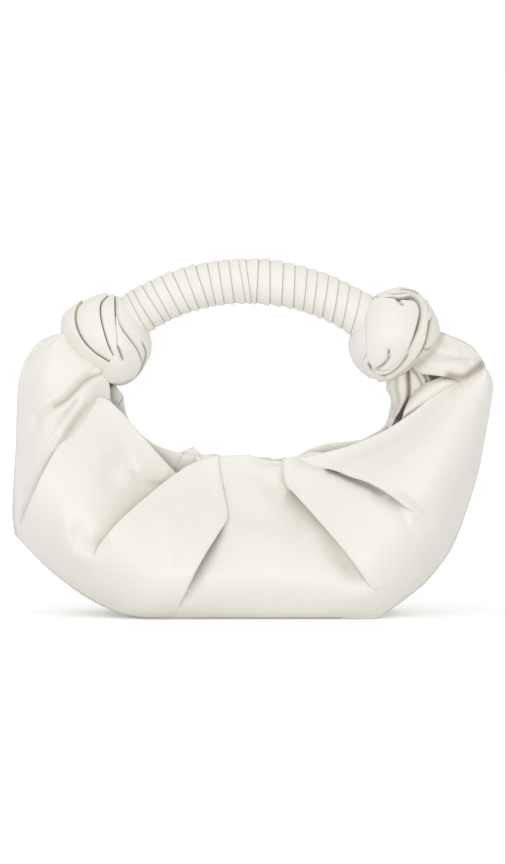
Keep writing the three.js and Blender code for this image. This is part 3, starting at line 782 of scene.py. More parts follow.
def fold_shade(sheet, strips, deeps, width=6):
    """The painted shade of a joined sheet's points, from the shade painted on each strip beside the fold that
    laps it.

    deeps gives each pleat's painted shade at its fold as (share of the way down, painted shade) pairs.
    """
    painted_shade = np.zeros(sheet.shape[:2])
    first = 0
    for under, over, deep in zip(strips, strips[1:], deeps):
        gap, along = distance_to_line(under[..., :2].reshape(-1, 2), over[:, 0, :2])
        shade = keyed(deep, along) * np.exp(-((gap / width) ** 2))
        painted_shade[-ROWS:, first : first + under.shape[1]] = shade.reshape(under.shape[:2])
        first += under.shape[1] + FOLD_COLUMNS
    return painted_shade


def pleat_columns(strips, pleat, reach):
    """The columns of a joined sheet that lie within reach of one of its pleats."""
    before = sum(strip.shape[1] for strip in strips[: pleat + 1])
    middle = before + FOLD_COLUMNS * pleat + FOLD_COLUMNS // 2
    return middle - reach, middle + reach


# Painted shade beside each pleat's fold, on the left and on the right front.
LEFT_FOLD_SHADE = (
    [(0, 0.3), (0.25, 0.5), (0.85, 0.5), (1, 0)], [(0, 0.2), (0.3, 0.35), (0.6, 0.3), (0.75, 0), (1, 0)],
)
RIGHT_FOLD_SHADE = (
    [(0, 0.2), (0.3, 0.3), (0.7, 0.3), (0.9, 0), (1, 0)], [(0, 0.3), (0.4, 0.35), (0.65, 0), (1, 0)],
)
CREASE_IN_A = [(101, 374), (87, 380), (77, 390), (67, 400), (56, 406.5)]
left_strips, right_strips = [strip_a, strip_b, strip_c], [strip_d, strip_e, strip_f]
front_left = join_pleats(left_strips)
relax(front_left, 101, pleat_columns(left_strips, 0, 34), ramp=7)
relax(front_left, 81, pleat_columns(left_strips, 1, 48), ramp=14)
front_left = np.concatenate([front_left, turned_edge(strip_c, 12)], axis=1)
soft_folds(front_left, [
    ([(98, 559), (82, 559), (72, 552), (68, 540), (66, 520), (66, 496)], 9, 2.0, (0.2, 0.4)),
    ([(112, 538), (98, 546), (86, 545), (81, 533), (84, 508)], 8, -2.8, (0.2, 0.4)),
])
front_right = join_pleats(right_strips)
relax(front_right, 92, pleat_columns(right_strips, 0, 44), ramp=12)
relax(front_right, 74, pleat_columns(right_strips, 1, 48), ramp=14)
soft_folds(front_right, [
    ([(384, 490), (404, 503), (424, 520), (438, 538)], 6, -4.2, (0.3, 0.3)),
    ([(396, 488), (420, 504), (440, 526), (447, 542)], 7, 1.8, (0.3, 0.3)),
])
front_left, front_right = with_lip(front_left), with_lip(front_right)
left_shade = fold_shade(front_left, left_strips, LEFT_FOLD_SHADE)
# Painted shade along the main crease in A.
painted_shade_in_a = shade_along([front_left[..., :2]], [(0, CREASE_IN_A, 2.4, 0.6)]).reshape(left_shade.shape)
front_left_leather = make_sheet(
    "front_left_leather", [front_left], FRONT, ivory, LEATHER, np.maximum(left_shade, painted_shade_in_a)
)
right_shade = fold_shade(front_right, right_strips, RIGHT_FOLD_SHADE)
front_right_leather = make_sheet("front_right_leather", [front_right], FRONT, ivory, LEATHER, right_shade)

# Back: the same outline seen from behind, with pleats of its own


def behind(points):
    """The photo pixels of a front point's mirror image on the back."""
    moved = []
    for px, py, depth in points:
        x, _, z = to_row(np.float64(px), np.float64(py), np.float64(-depth))
        moved.append((*to_photo(x, depth, z), depth))
    return moved


def grid_behind(grid):
    return np.array(behind(grid.reshape(-1, 3))).reshape(grid.shape)


def behind_flat(point):
    return behind([point])[0][:2]


BACK_MIDDLE_LEFT, BACK_MIDDLE_RIGHT = (190, 617.3, 38), (310, 617.3, 38)
BACK_HEEL = (396, 605, 27)

back_a = lay_strip(
    mouth=[(84, 330, 1.2), (90, 348, 13), (99, 364, 16), (108, 377, 15), (116, 388, 12), (122, 398, 10)],
    edge=LEFT_OUTLINE,
    left=[(84, 330), (74, 331), (62, 333)],
    right=[(122, 398), (100, 428), (80, 458), (60, 490), (38, 517), (22, 532), (14, 534)],
    columns=60, rows=ROWS, swell=(10, 36), puff=2,
    tuck=[(0, 2), (0.3, 5), (0.7, 5), (0.92, 2), (1, 0)],
)
back_b = lay_strip(
    mouth=[
        (113, 387, 13), (122, 400, 12), (127, 419, 11), (140, 435, 10), (157, 447, 9), (180, 454, 8),
        (200, 458, 7),
    ],
    edge=behind(LEFT_TOE),
    left=[(113, 387), (88, 420), (66, 455), (48, 487), (31, 513), (19, 530), (14, 534)],
    right=[
        (200, 458), (186, 486), (164, 512), (138, 536), (112, 553), (92, 566), (74, 575),
        behind_flat(LEFT_TOE[-1]),
    ],
    columns=64, rows=ROWS, swell=(38, 53), puff=2,
    tuck=[(0, 2), (0.3, 6), (0.6, 5), (0.82, 0.6), (1, 0)],
)
back_c = lay_strip(
    mouth=[(184, 455, 9), (205, 459, 8.5), (230, 459, 8)],
    edge=behind(LEFT_BASE[:-1] + [BACK_MIDDLE_LEFT]),
    left=[
        (184, 455), (170, 478), (150, 502), (124, 528), (102, 548), (84, 562), (70, 572),
        behind_flat(LEFT_TOE[-1]),
    ],
    right=[(230, 459), (232, 490), (230, 520), (218, 550), (204, 580), behind_flat(BACK_MIDDLE_LEFT)],
    columns=54, rows=ROWS, swell=(55, 54), puff=1,
    tuck=[(0, 2), (0.3, 5), (0.7, 4), (0.95, 0.6), (1, 0)],
)
back_d = lay_strip(
    mouth=[(216, 459, 9), (245, 459.5, 8), (268, 460, 8)],
    edge=behind([BACK_MIDDLE_LEFT, (250, 617.3, 38), BACK_MIDDLE_RIGHT]),
    left=[(216, 459), (219, 490), (218, 520), (206, 550), (196, 580), behind_flat(BACK_MIDDLE_LEFT)],
    right=[(268, 460), (274, 490), (281, 525), (290, 560), (300, 590), behind_flat(BACK_MIDDLE_RIGHT)],
    columns=44, rows=ROWS, swell=(56, 56), puff=1,
)
back_e = lay_strip(
    mouth=[
        (252, 460, 6.5), (280, 460, 7.5), (296, 458, 8), (310, 450.5, 9), (325, 445.5, 9.5),
        (352, 442.5, 9.5), (366, 441, 9),
    ],
    edge=behind([(296, 617.3, 38), (340, 617.3, 38), (374, 617, 37.5), (388, 610.5, 32), BACK_HEEL]),
    left=[(252, 460), (256, 490), (264, 525), (274, 560), (286, 590), behind_flat((296, 617.3, 38))],
    right=[(366, 441), (371, 470), (378, 505), (386, 540), (392, 572), behind_flat(BACK_HEEL)],
    columns=60, rows=ROWS, swell=(52, 52), puff=2,
    tuck=[(0, 2), (0.3, 6), (0.6, 5), (0.8, 1), (0.9, 0.3), (1, 0)],
)
back_f = lay_strip(
    mouth=[
        (353, 445.5, 11.5), (361, 441.5, 11), (372, 436, 11), (386, 426, 11), (392, 406, 12),
        (394, 394, 12), (404, 382, 10),
    ],
    edge=behind([BACK_HEEL] + RIGHT_BASE[1:-1]) + RIGHT_OUTLINE[:-1] + SHOULDER_RIDGE,
    left=[(353, 445.5), (357, 475), (364, 510), (374, 543), (384, 574), behind_flat(BACK_HEEL)],
    right=[(404, 382), (419, 372), (432, 361), (440, 349), (443, 336)],
    columns=96, rows=ROWS, swell=(54, 8), puff=3,
)
soft_folds(back_a, [
    ([(104, 374), (84, 390), (60, 410), (38, 428)], 6, -4.0),
    ([(106, 380), (88, 400), (66, 424), (44, 446)], 7, 2.0),
    ([(58, 338), (40, 352), (28, 372)], 3, -1.8),
])
soft_folds(back_b, [
    ([(130, 450), (122, 474), (132, 494)], 9, -3.0),
    ([(96, 560), (76, 556), (68, 530), (70, 500)], 6, 2.0),
])
soft_folds(back_f, [
    ([(404, 372), (420, 392), (440, 416), (456, 446)], 7, -4.0),
    ([(398, 380), (404, 410), (412, 440), (420, 470)], 7, -3.5),
    ([(415, 355), (440, 366), (466, 388), (480, 410)], 6, -3.5),
    ([(400, 376), (412, 404), (428, 434)], 7, 2.0),
    ([(410, 360), (432, 382), (456, 410)], 7, 2.0),
])
release(back_a, back_b, 0.86, 0.99)
release(back_b, back_c, 0.78, 0.92)
release(back_c, back_d, 0.86, 0.98)
release(back_e, back_f, 0.92, 0.995)

# The back's own pleat shows as a tab just inside the front lip.
lip_tab = ribbon(
    [(181, 452, -7), (188, 460, -5.5), (196, 469, -4), (204, 478, -3)],
    [(192, 447, -7), (199, 453, -5.5), (207, 461, -4), (215, 470, -3)],
    16, 0.2, roll=0.6,
)
back_left_strips, back_right_strips = [back_a, back_b, back_c, back_d], [back_e, back_f]
back_left, back_right = join_pleats(back_left_strips), join_pleats(back_right_strips)
for pleat, first_row, ramp in ((0, 101, 7), (1, 92, 12), (2, 98, 9)):
    relax(back_left, first_row, pleat_columns(back_left_strips, pleat, 20), ramp)
relax(back_right, 86, pleat_columns(back_right_strips, 0, 32), ramp=14)
back_left = np.concatenate([back_left, turned_edge(back_d, 10)], axis=1)
back_left_leather = make_sheet("back_left_leather", [with_lip(back_left)], BACK, ivory, LEATHER)
back_right_leather = make_sheet("back_right_leather", [with_lip(back_right)], BACK, ivory, LEATHER)
tab_leather = make_sheet("lip_tab", [lip_tab], FRONT, ivory, LEATHER)

# Right neck: the gathered folds between the shoulder and the knot

FLAP, LIP_ROLL, INNER_FOLD, BACK_ROPE, HOLLOW = 0, 1, 2, 5, 6
right_neck = [
    # The flap that spreads from the knot to the shoulder
    ribbon(
        [
            (431, 341, -1), (440, 333, -1), (452, 337.5, 0), (464, 342.5, 0), (472, 348, 0),
            (477, 354, 0), (484, 364.5, 0),
        ],
        [
            (413, 362, 3), (420, 370, 8), (432.5, 372, 13), (447, 374, 14), (455, 376, 12), (464, 379, 9),
            (475, 373, 5), (483.5, 367, 0.5),
        ],
        48, 5, ("plain", "roll"), 1.6,
    ),
    # The roll that lies along the front lip
    ribbon(
        [
            (408, 404, 3), (415, 394, 5), (424, 387, 7), (436, 382, 8), (443, 379.5, 8), (450, 378, 7),
            (460, 382, 5),
        ],
        [
            (400, 422, 5), (412, 412, 7), (424, 403, 8), (436, 395, 8), (447, 388, 7), (456, 383, 6),
            (464, 380, 4),
        ],
        40, 3, ("roll", "plain"), 1.4,
    ),
    # The inner fold and its two narrow bands
    ribbon(
        [(408, 366, -3), (409, 380, -1), (409.5, 392, 0), (410, 402, 1)],
        [(411, 367, -3), (417, 375, 0), (422, 383, 2), (424, 390, 4)],
        24, 2, ("roll", "roll"), 1.0,
    ),
    ribbon(
        [(408, 365, -4), (415.5, 371, -1), (420.5, 378, 1), (423.5, 387, 3)],
        [(410.5, 364, -4), (418, 369.5, -1), (423.5, 376, 1), (427, 385, 3)],
        24, 0.8, ("roll", "roll"), 0.7,
    ),
    ribbon(
        [(411, 363, -6), (419, 369, -3), (425, 376, -1), (429, 386, 1)],
        [(414, 362, -6), (422, 368.5, -3), (428, 375, -1), (432, 385, 1)],
        24, 0.8, ("roll", "roll"), 0.7,
    ),
    # The back lip, drawn up like a rope
    ribbon(
        [
            (392, 372, -4), (389, 380, -6), (388.5, 389, -8), (392, 396, -8), (393.5, 405, -8),
            (391, 414, -7), (387.5, 428, -6),
        ],
        [
            (407, 367, -2), (408.5, 379, -2), (408.8, 390, -2), (408, 399, -2), (404, 407, -2),
            (399, 416, -2), (391, 430, -2),
        ],
        40, 6, ("roll", "roll"), 1.6,
    ),
    # The fold across the hollow behind the flap, painted dark all over as the hollow's shade
    ribbon(
        [(399, 367, -6), (410, 363, -5), (421, 360, -2), (433, 359, 4), (447, 361, 8), (462, 366, 8)],
        [(399, 398, -4), (408, 397, -3.5), (420, 393, -4), (434, 389, -3), (448, 384, 0), (461, 379, 2)],
        28, -1.5, ("plain", "plain"),
    ),
]
soft_folds(right_neck[FLAP], [
    ([(424, 352), (440, 358), (456, 360), (472, 362)], 2.6, -2.4),
    ([(430, 346), (446, 350), (462, 352)], 4, 1.6),
    ([(442, 335), (446, 342), (445, 349)], 3, -1.8),
    ([(420, 364), (436, 364), (454, 366), (470, 366)], 4, 1.5),
    ([(417, 354), (419, 359), (424, 363)], 1.4, -2.5),
])
stroke(right_neck[BACK_ROPE], [(397, 372), (395, 386), (398, 400), (394, 416)], 2.6, -3.0)
# Painted shade on the neck's folds, under the flap, along the lip roll and in the hollow: each is (fold,
# line, width in pixels, shade at the line).
NECK_SHADE = [
    (FLAP, [(442, 335), (437, 347), (428, 356), (418, 366)], 4, 0.5),
    (FLAP, [(448, 374.5), (462, 376.5), (471, 371), (480, 364)], 4.2, 0.8),
    (FLAP, [(428, 353), (450, 358), (476, 360)], 3, 0.3),
    (LIP_ROLL, [(445, 377), (454, 378), (463, 380)], 4, 0.85),
    (LIP_ROLL, [(464, 380), (436, 396), (404, 418)], 2.5, 0.7),
    (LIP_ROLL, [(408, 402), (415, 394), (424, 386)], 3, 0.4),
    (INNER_FOLD, [(408, 366), (409, 380), (409.5, 392), (410, 402)], 2.2, 0.9),
    (INNER_FOLD, [(411, 366), (417, 373), (421, 380), (424, 389)], 2, 0.8),
    (BACK_ROPE, [(407, 367), (408.5, 380), (408.8, 395), (404, 407), (397, 419)], 3, 0.9),
    (BACK_ROPE, [(397, 372), (395, 386), (398, 400), (394, 416)], 3, 0.45),
    (HOLLOW, [(405, 388), (430, 375), (455, 368)], 34, 1.0),
]
neck_shade = shade_along(right_neck, NECK_SHADE)
right_neck_leather = make_sheet("right_neck_folds", right_neck, FRONT, ivory, LEATHER, neck_shade)

# Base: a boat-shaped sheet between the front and back edges

BASE_STATIONS, BASE_COLUMNS = 120, 13
under_edge = curve(LEFT_TOE[:-1] + LEFT_BASE[:-1] + MIDDLE_BASE[1:-1] + RIGHT_BASE, BASE_STATIONS)
front_edge = to_row(under_edge[:, 0], under_edge[:, 1], -under_edge[:, 2])
across = np.linspace(-1, 1, BASE_COLUMNS)
base_points = np.stack(
    [front_edge * [1, 0, 1] + [0, 1, 0] * (under_edge[:, 2:] * a) for a in across], axis=1,
)
base_points[..., 2] = np.maximum(base_points[..., 2], 0)
base_faces = grid_faces(BASE_STATIONS, BASE_COLUMNS, True)
base_leather = make_mesh("base_leather", base_points.reshape(-1, 3), base_faces, ivory)
thicken(base_leather, LEATHER)

# Knots: passes of folded strap, laid on a rounded lump


def around(centre, outline):
    """The lump's outline as a radius for every direction from its centre, in pixels."""
    rel = np.array(outline, float) - centre
    angle = np.arctan2(rel[:, 1], rel[:, 0])
    order = np.argsort(angle)
    angle, radius = angle[order], np.linalg.norm(rel, axis=1)[order]
    angle = np.concatenate([angle[-1:] - 2 * math.pi, angle, angle[:1] + 2 * math.pi])
    radius = np.concatenate([radius[-1:], radius, radius[:1]])
    return lambda a: np.interp(a, angle, radius)


EDGES = {
    # Each edge is (place in from the line, fall, painted shade), the first two in millimetres. Those of
    # "over" are in radii of its roll, but for a fall of more than 1.
    "over": [(0, 4.0, 1), (0, 1.0, 0.45), (0.12, 0.5, 0.05), (0.4, 0.18, 0), (0.75, 0.03, 0), (1.1, 0, 0)],
    "under": [
        (-1.2, 2.6, 1), (-0.4, 2.4, 1), (0, 2.0, 1), (0.4, 1.1, 0.8), (0.9, 0.35, 0.4), (1.6, 0, 0.2),
        (3.2, 0, 0),
    ],
    "lapped": [
        (-1.2, 2.6, 0.6), (0, 2.5, 0.7), (1.1, 2.1, 0.85), (1.5, 1.2, 0.75), (2.0, 0.35, 0.4),
        (2.8, 0, 0.2), (4.2, 0, 0),
    ],
    "meet": [(0, 0, 0), (0.3, 0, 0), (0.6, 0, 0), (0.9, 0, 0), (1.2, 0, 0), (1.5, 0, 0)],
}
KNOT_ROUNDING, KNOT_CORE = 0.58, 0.93
# A pass's end turns down by this much, in millimetres, and a crease narrower than this, in pixels, gets
# painted shade.
TURN_DOWN, FINE_CREASE = 4, 2
CORE_TURNS, CORE_RINGS, CORE_POLE, CORE_SHADE = 49, 25, 0.0005, 0.8
BAND_COLUMNS, CREASE_POINTS, CREASE_FADE, CREASE_SHADE = 17, 20, 0.2, 0.9


class Lump:
    """The rounded middle of a knot, which its strap passes lie on."""

    def __init__(self, centre, outline, depth):
        self.centre = np.array(centre, float)
        self.radius = around(self.centre, outline)
        self.depth = depth
        self.middle = to_row(np.float64(centre[0]), np.float64(centre[1]), np.float64(0))

    def point(self, flat, raise_by):
        """Points on the lump's front, raised along the line from its middle."""
        rel = flat - self.centre
        share = np.linalg.norm(rel, axis=-1) / self.radius(np.arctan2(rel[..., 1], rel[..., 0]))
        depth = self.depth * np.clip(1 - np.minimum(share, 1) ** 2, 0, 1) ** KNOT_ROUNDING
        on = to_row(flat[..., 0], flat[..., 1], -depth)
        out = on - self.middle
        return on + out / np.linalg.norm(out, axis=-1, keepdims=True) * np.asarray(raise_by)[..., None]

    def out_to_edge(self, flat):
        rel = flat - self.centre
        angle = np.arctan2(rel[..., 1], rel[..., 0])
        towards = np.stack([np.cos(angle), np.sin(angle)], axis=-1)
        return self.centre + self.radius(angle)[..., None] * towards

    def band(
        self, one_side, other_side, level=(0, 0), edges=("over", "over"), crown=0.6, roll=1.0, rows=44,
        creases=(), caps=(),
    ):
        """A strap pass between its two side lines, level millimetres above the lump at each.

        caps says what becomes of its ends: first_out and last_out run over the lump's outline to
        its back, and first_down and last_down turn down on what lies underneath.
        """
        a, b = curve(one_side, rows), curve(other_side, rows)
        width = np.linalg.norm(b - a, axis=1)[:, None] * MM_PER_PIXEL
        r = np.minimum(roll, 0.25 * width)
        ends = []
        for kind in edges:
            place, fall, shade = np.array(EDGES[kind]).T
            if kind == "over":
                ends.append((place[None] * r, np.where(fall > 1, fall, fall * r), shade[None] + 0 * r))
            else:
                narrow = np.minimum(1, 0.2 * width)
                ends.append((place[None] * narrow, fall[None] + 0 * r, shade[None] + 0 * r))
        (in_a, fall_a, shade_a), (in_b, fall_b, shade_b) = ends
        middle = np.linspace(0, 1, BAND_COLUMNS)[None, 1:-1]
        body = in_a[:, -1:] + (width - in_a[:, -1:] - in_b[:, -1:]) * middle
        u = np.concatenate([in_a, body, width - in_b[:, ::-1]], axis=1) / width
        fall = np.concatenate([fall_a, 0 * body, fall_b[:, ::-1]], axis=1)
        shade = np.concatenate([shade_a, 0 * body, shade_b[:, ::-1]], axis=1)
        inside = np.clip(u, 0, 1)
        lift = level[0] + (level[1] - level[0]) * inside + crown * np.sin(math.pi * inside) ** 0.8 - fall
        flat = a[:, None] * (1 - u[..., None]) + b[:, None] * u[..., None]
        for kind, column in zip(edges, (0, -1)):
            if kind == "meet":
                flat[:, column] = self.out_to_edge(flat[:, column])
        for cap in caps:
            end = slice(0, 1) if cap.startswith("first") else slice(-1, None)
            beyond = self.out_to_edge(flat[end]) if cap.endswith("out") else flat[end]
            drop = 0 if cap.endswith("out") else TURN_DOWN
            # A turned-down end gets painted shade.
            parts = [
                (flat, beyond), (lift, lift[end] - drop), (shade, np.maximum(shade[end], drop / TURN_DOWN)),
            ]
            if cap.startswith("first"):
                parts = [(new, old) for old, new in parts]
            flat, lift, shade = (np.concatenate(pair) for pair in parts)
        for line, wide, high in creases:
            gap, along = distance_to_line(flat.reshape(-1, 2), curve(line, CREASE_POINTS))
            fade = smooth(along, 0, CREASE_FADE) * (1 - smooth(along, 1 - CREASE_FADE, 1))
            deep = (fade * np.exp(-((gap / wide) ** 2))).reshape(lift.shape)
            lift = lift + high * deep
            # A fine crease gets painted shade as well as its dip.
            if wide < FINE_CREASE:
                shade = np.maximum(shade, CREASE_SHADE * deep)
        return self.point(flat, lift), shade


def make_knot(name, lump, bands):
    """A knot from its passes, the same on its back as on its front, round a core that fills the gaps."""
    parts, shades = [], []
    for grid, shade in bands:
        for half, flip in ((grid, False), (grid * [1, -1, 1], True)):
            parts.append((half.reshape(-1, 3), grid_faces(*grid.shape[:2], flip)))
            shades.append(shade.ravel())
    turns = np.linspace(-math.pi, math.pi, CORE_TURNS)
    turn, rise = np.meshgrid(turns, np.linspace(CORE_POLE, math.pi - CORE_POLE, CORE_RINGS))
    radius = lump.radius(-turn) * MM_PER_PIXEL * KNOT_CORE
    depth = KNOT_CORE * lump.depth * np.cos(rise)
    core = np.stack(
        [radius * np.cos(turn) * np.sin(rise), depth, radius * np.sin(turn) * np.sin(rise)], axis=-1,
    )
    parts.append(((lump.middle + core).reshape(-1, 3), grid_faces(CORE_RINGS, CORE_TURNS, True)))
    # The core gets painted shade, as it shows only deep between the passes.
    shades.append(np.full(CORE_RINGS * CORE_TURNS, CORE_SHADE))
    return make_mesh(name, *join_parts(parts), ivory, np.concatenate(shades))


LEFT_LUMP_OUTLINE = [
    (61, 322), (60.5, 331), (64, 339), (70, 350), (80, 362), (91, 370), (100, 376), (108, 382),
    (119.7, 386), (130, 383), (140, 374), (147, 362), (151.6, 350), (152, 343), (150, 334), (146, 324),
    (140, 314), (131, 305), (122, 299), (114.5, 296.5), (101.4, 296), (92, 299), (80, 304), (70, 309),
    (63, 315),
]
left_lump = Lump((106, 341), LEFT_LUMP_OUTLINE, 30)
LEFT_LINE_1 = [
    (83, 302.5), (77.5, 309), (76.2, 320), (78.6, 330.5), (84.5, 341.5), (94, 351.8), (108, 361),
    (112, 363),
]
LEFT_LINE_2 = [
    (108, 296.5), (102, 303), (100.6, 310), (102, 321.7), (105.8, 336.4), (109.4, 347.4), (114, 356),
]
LEFT_LINE_3 = [(114.6, 296), (115, 308), (115.7, 320), (117, 330), (117.6, 338), (117.5, 346), (115.5, 355)]
left_bands = [
    left_lump.band(
        LEFT_LINE_2, LEFT_LINE_3, (0.2, 1.4), ("under", "over"), 0.3, rows=40, caps=["first_out"],
    ),
    left_lump.band(LEFT_LINE_1, LEFT_LINE_2, (0.2, 1.7), ("under", "over"), 0.6, caps=["first_out"]),
    left_lump.band(
        [
            (83, 303), (70, 308.5), (62, 316), (60.5, 326), (63, 337), (70, 350), (80, 362), (91, 370),
            (103, 377),
        ],
        LEFT_LINE_1, (0, 1.9), ("meet", "over"), 0.6, rows=50, caps=["first_out", "last_down"],
    ),
    # The right side of the knot, from the handle down and round underneath
    left_lump.band(
        [
            (113, 296), (114.2, 306), (114.6, 315), (116.4, 322), (121, 330), (128, 339.5), (134.5, 348),
            (138.5, 356), (139.8, 364), (137.5, 371), (131.5, 376.5), (123, 380), (113, 381),
        ],
        [
            (118, 297), (131, 305), (140, 314), (146, 324), (150, 334), (152, 344), (151.6, 353),
            (147.5, 362), (140, 374), (130, 383), (119.7, 386), (112, 384), (108, 382),
        ],
        (0, 0), ("lapped", "meet"), 0.6, rows=64, caps=["first_out"],
        creases=[([(134, 378), (143, 366), (146, 352), (140, 338)], 1.1, -0.9)],
    ),
    # The front loop over them
    left_lump.band(
        [
            (115.8, 319), (117, 333), (117.5, 344), (114.5, 354.5), (108, 364), (102, 373), (104, 377.5),
            (110, 380),
        ],
        [
            (116.6, 319), (121, 329.5), (128, 339.3), (134.4, 348), (138, 355.4), (139.5, 364.2),
            (135, 373.5), (122, 380),
        ],
        (2.4, 2.4), ("over", "over"), 0.5, rows=54, caps=["last_down"],
        creases=[
            ([(117, 344), (120.4, 352.5), (123.5, 362)], 1.2, -2.6),
            ([(127, 350), (131, 360), (127, 371)], 5, -0.7),
        ],
    ),
]
left_knot_leather = make_knot("left_knot_leather", left_lump, left_bands)

RIGHT_LUMP_OUTLINE = [
    (348, 343), (349, 353), (354, 364), (361, 372), (369, 378), (377, 381), (386, 382), (396, 378),
    (408, 371), (418, 362), (427, 354), (436, 344), (440.5, 333), (438.5, 322), (434, 312), (428, 303),
    (420, 294.5), (410, 289), (400, 287.5), (388, 290), (374, 297), (366, 306), (359, 318), (352, 331),
]
right_lump = Lump((394, 336), RIGHT_LUMP_OUTLINE, 30)
RIGHT_RING_INSIDE = [
    (398, 296), (410, 298), (416.5, 306), (417, 316), (414, 330), (409, 341), (402, 352), (393, 360),
    (384, 364), (375, 366), (368, 364),
]
RIGHT_RING_OUTSIDE = [
    (402, 290), (416, 294), (425, 305), (426.5, 316), (425, 330), (422, 343), (416, 355), (407, 365.5),
    (396, 374), (386, 380), (372, 377),
]
right_bands = [
    # The left part, behind the handle's end
    right_lump.band(
        [
            (374, 297), (366, 306), (359, 318), (352, 331), (348, 343), (349, 353), (354, 364),
            (361, 372), (370, 378),
        ],
        [
            (384, 294), (376, 304), (371, 316), (369, 330), (368.5, 345), (369, 354), (368, 361),
            (371, 368), (378, 373),
        ],
        (0, 0.2), ("meet", "under"), 0.6,
    ),
    # The right part, under the ring
    right_lump.band(
        [
            (422, 300), (426, 308), (427.5, 316), (426, 330), (423, 343), (417, 355), (408, 365),
            (397, 373.5), (387, 378), (376, 377),
        ],
        [
            (428, 303), (434, 312), (438.5, 322), (440.5, 333), (436, 344), (427, 354), (418, 362),
            (408, 371), (396, 378), (384, 382),
        ],
        (0, 0), ("lapped", "meet"), 0.6, rows=56, caps=["first_out", "last_out"],
        creases=[
            ([(428, 340), (422, 348), (417, 359)], 1.1, -2.0),
            ([(432, 349), (425, 350), (420, 346)], 1.1, -1.6),
        ],
    ),
    # Two straps over the top
    right_lump.band(
        [(380, 300), (390, 298.5), (400, 299), (411, 297), (419, 301.5), (424.5, 310), (426.5, 322)],
        [(374, 297), (388, 290), (400, 287.5), (410, 289), (420, 294.5), (428, 303), (434, 312)],
        (1.6, 0), ("over", "meet"), 0.6, rows=48, caps=["last_down"],
        creases=[
            ([(396, 293), (408, 291.5), (417, 296), (424, 303.5), (428.5, 316)], 1.0, -2.2),
            ([(384, 295.5), (398, 295.5), (408, 294.5), (418, 299.5), (425, 309)], 1.0, -1.6),
        ],
    ),
    # The ring round the pad
    right_lump.band(
        RIGHT_RING_INSIDE, RIGHT_RING_OUTSIDE, (-0.2, 1.8), ("lapped", "over"), 0.6, rows=64,
        creases=[([(372, 374), (386, 374.5), (396, 368.5), (405, 358), (411, 345)], 1.0, -2.0)],
    ),
    # Two small loops under the pad's left corner
    right_lump.band(
        [(368, 346), (361.5, 354.5), (359, 363.5), (362.5, 371), (370, 377)],
        [(370, 352), (366.5, 357), (365, 364), (368.5, 370), (376, 374)],
        (1.1, 1.1), ("over", "under"), 0.5, rows=30, caps=["last_down"],
    ),
    right_lump.band(
        [(367.5, 353), (363.8, 362), (367, 370), (375.5, 377), (385, 380.5)],
        [(372, 357), (369.5, 364), (373, 369), (381, 373.5), (389, 376)],
        (1.8, 1.8), ("over", "under"), 0.5, rows=34, caps=["last_down"],
    ),
    # The big front pad
    right_lump.band(
        [(379, 300.5), (371, 304.5), (368, 316), (367.5, 333), (367.6, 348), (369.5, 360), (375, 368)],
        [(404, 304), (413, 304.5), (416.8, 312), (413.5, 329), (408.7, 343), (402, 356), (390, 367.5)],
        (2.8, 2.6), ("over", "over"), 0.4, 1.2, rows=50, caps=["first_down", "last_down"],
        creases=[
            ([(395, 299), (398.5, 305), (401, 309)], 1.3, -3.0),
            ([(387.5, 345), (388, 356), (383, 363.5), (374, 368)], 1.2, -2.6),
        ],
    ),
]
right_knot_leather = make_knot("right_knot_leather", right_lump, right_bands)

# Handle: a padded arch bound with a strip on each side of the middle

KNOT_HALF_SPACING, KNOT_HEIGHT = 102.0, 194.0
HANDLE_RISE = 42.0
ARCH_RADIUS = (KNOT_HALF_SPACING**2 + HANDLE_RISE**2) / (2 * HANDLE_RISE)
ARCH_MIDDLE = KNOT_HEIGHT + HANDLE_RISE - ARCH_RADIUS
GRIP_RADIUS = 16.5
STRIP_THICK = 2.6
STEPS_PER_TURN = 60
PAD_STATIONS, PAD_ROUND = 90, 41
# The arch leans: it sits lower by this much for each millimetre to the right, and by this much at its middle.
LEAN, SAG = 0.03, 0.6

# Each turn's line across the handle: its pixel at the top of the handle and at the underside
LEFT_TURNS = [
    (114, 136), (120, 143), (126.3, 149), (132, 156), (140.7, 166), (149.5, 172), (160.2, 182),
    (171, 191.3), (183, 199.7), (194.5, 209), (206.5, 216), (217.2, 224.5), (228, 234.5), (238, 245.5),
    (245, 251.3),
]
RIGHT_TURNS = [
    (258.4, 256), (269.4, 269.4), (283.1, 280.7), (294.6, 292.5), (307, 302.2), (317.4, 311.4),
    (328.5, 320.7), (338.9, 330.8), (349.6, 340), (361.2, 349), (372.8, 357), (384, 366),
]


def on_arch(angle, radius, turn):
    """A point of the handle: angle along the arch, radius from its middle line, turn round it."""
    reach = ARCH_RADIUS + radius * np.cos(turn)
    x, z = reach * np.sin(angle), ARCH_MIDDLE + reach * np.cos(angle)
    return np.stack([x, -radius * np.sin(turn) + 0 * x, z - LEAN * x - SAG], axis=-1)


def winding(turns):
    """The arch angle of the winding's line after any number of turns."""
    places, angles = [], []
    for k, (top, underside) in enumerate(turns):
        for place, px, side in ((k, top, 1), (k + 0.5, underside, -1)):
            reach = ARCH_RADIUS + side * GRIP_RADIUS
            places.append(place)
            angles.append(math.asin((px - PHOTO_MIDDLE) * MM_PER_PIXEL / reach))
    return lambda at: keyed(list(zip(places, angles)), at)


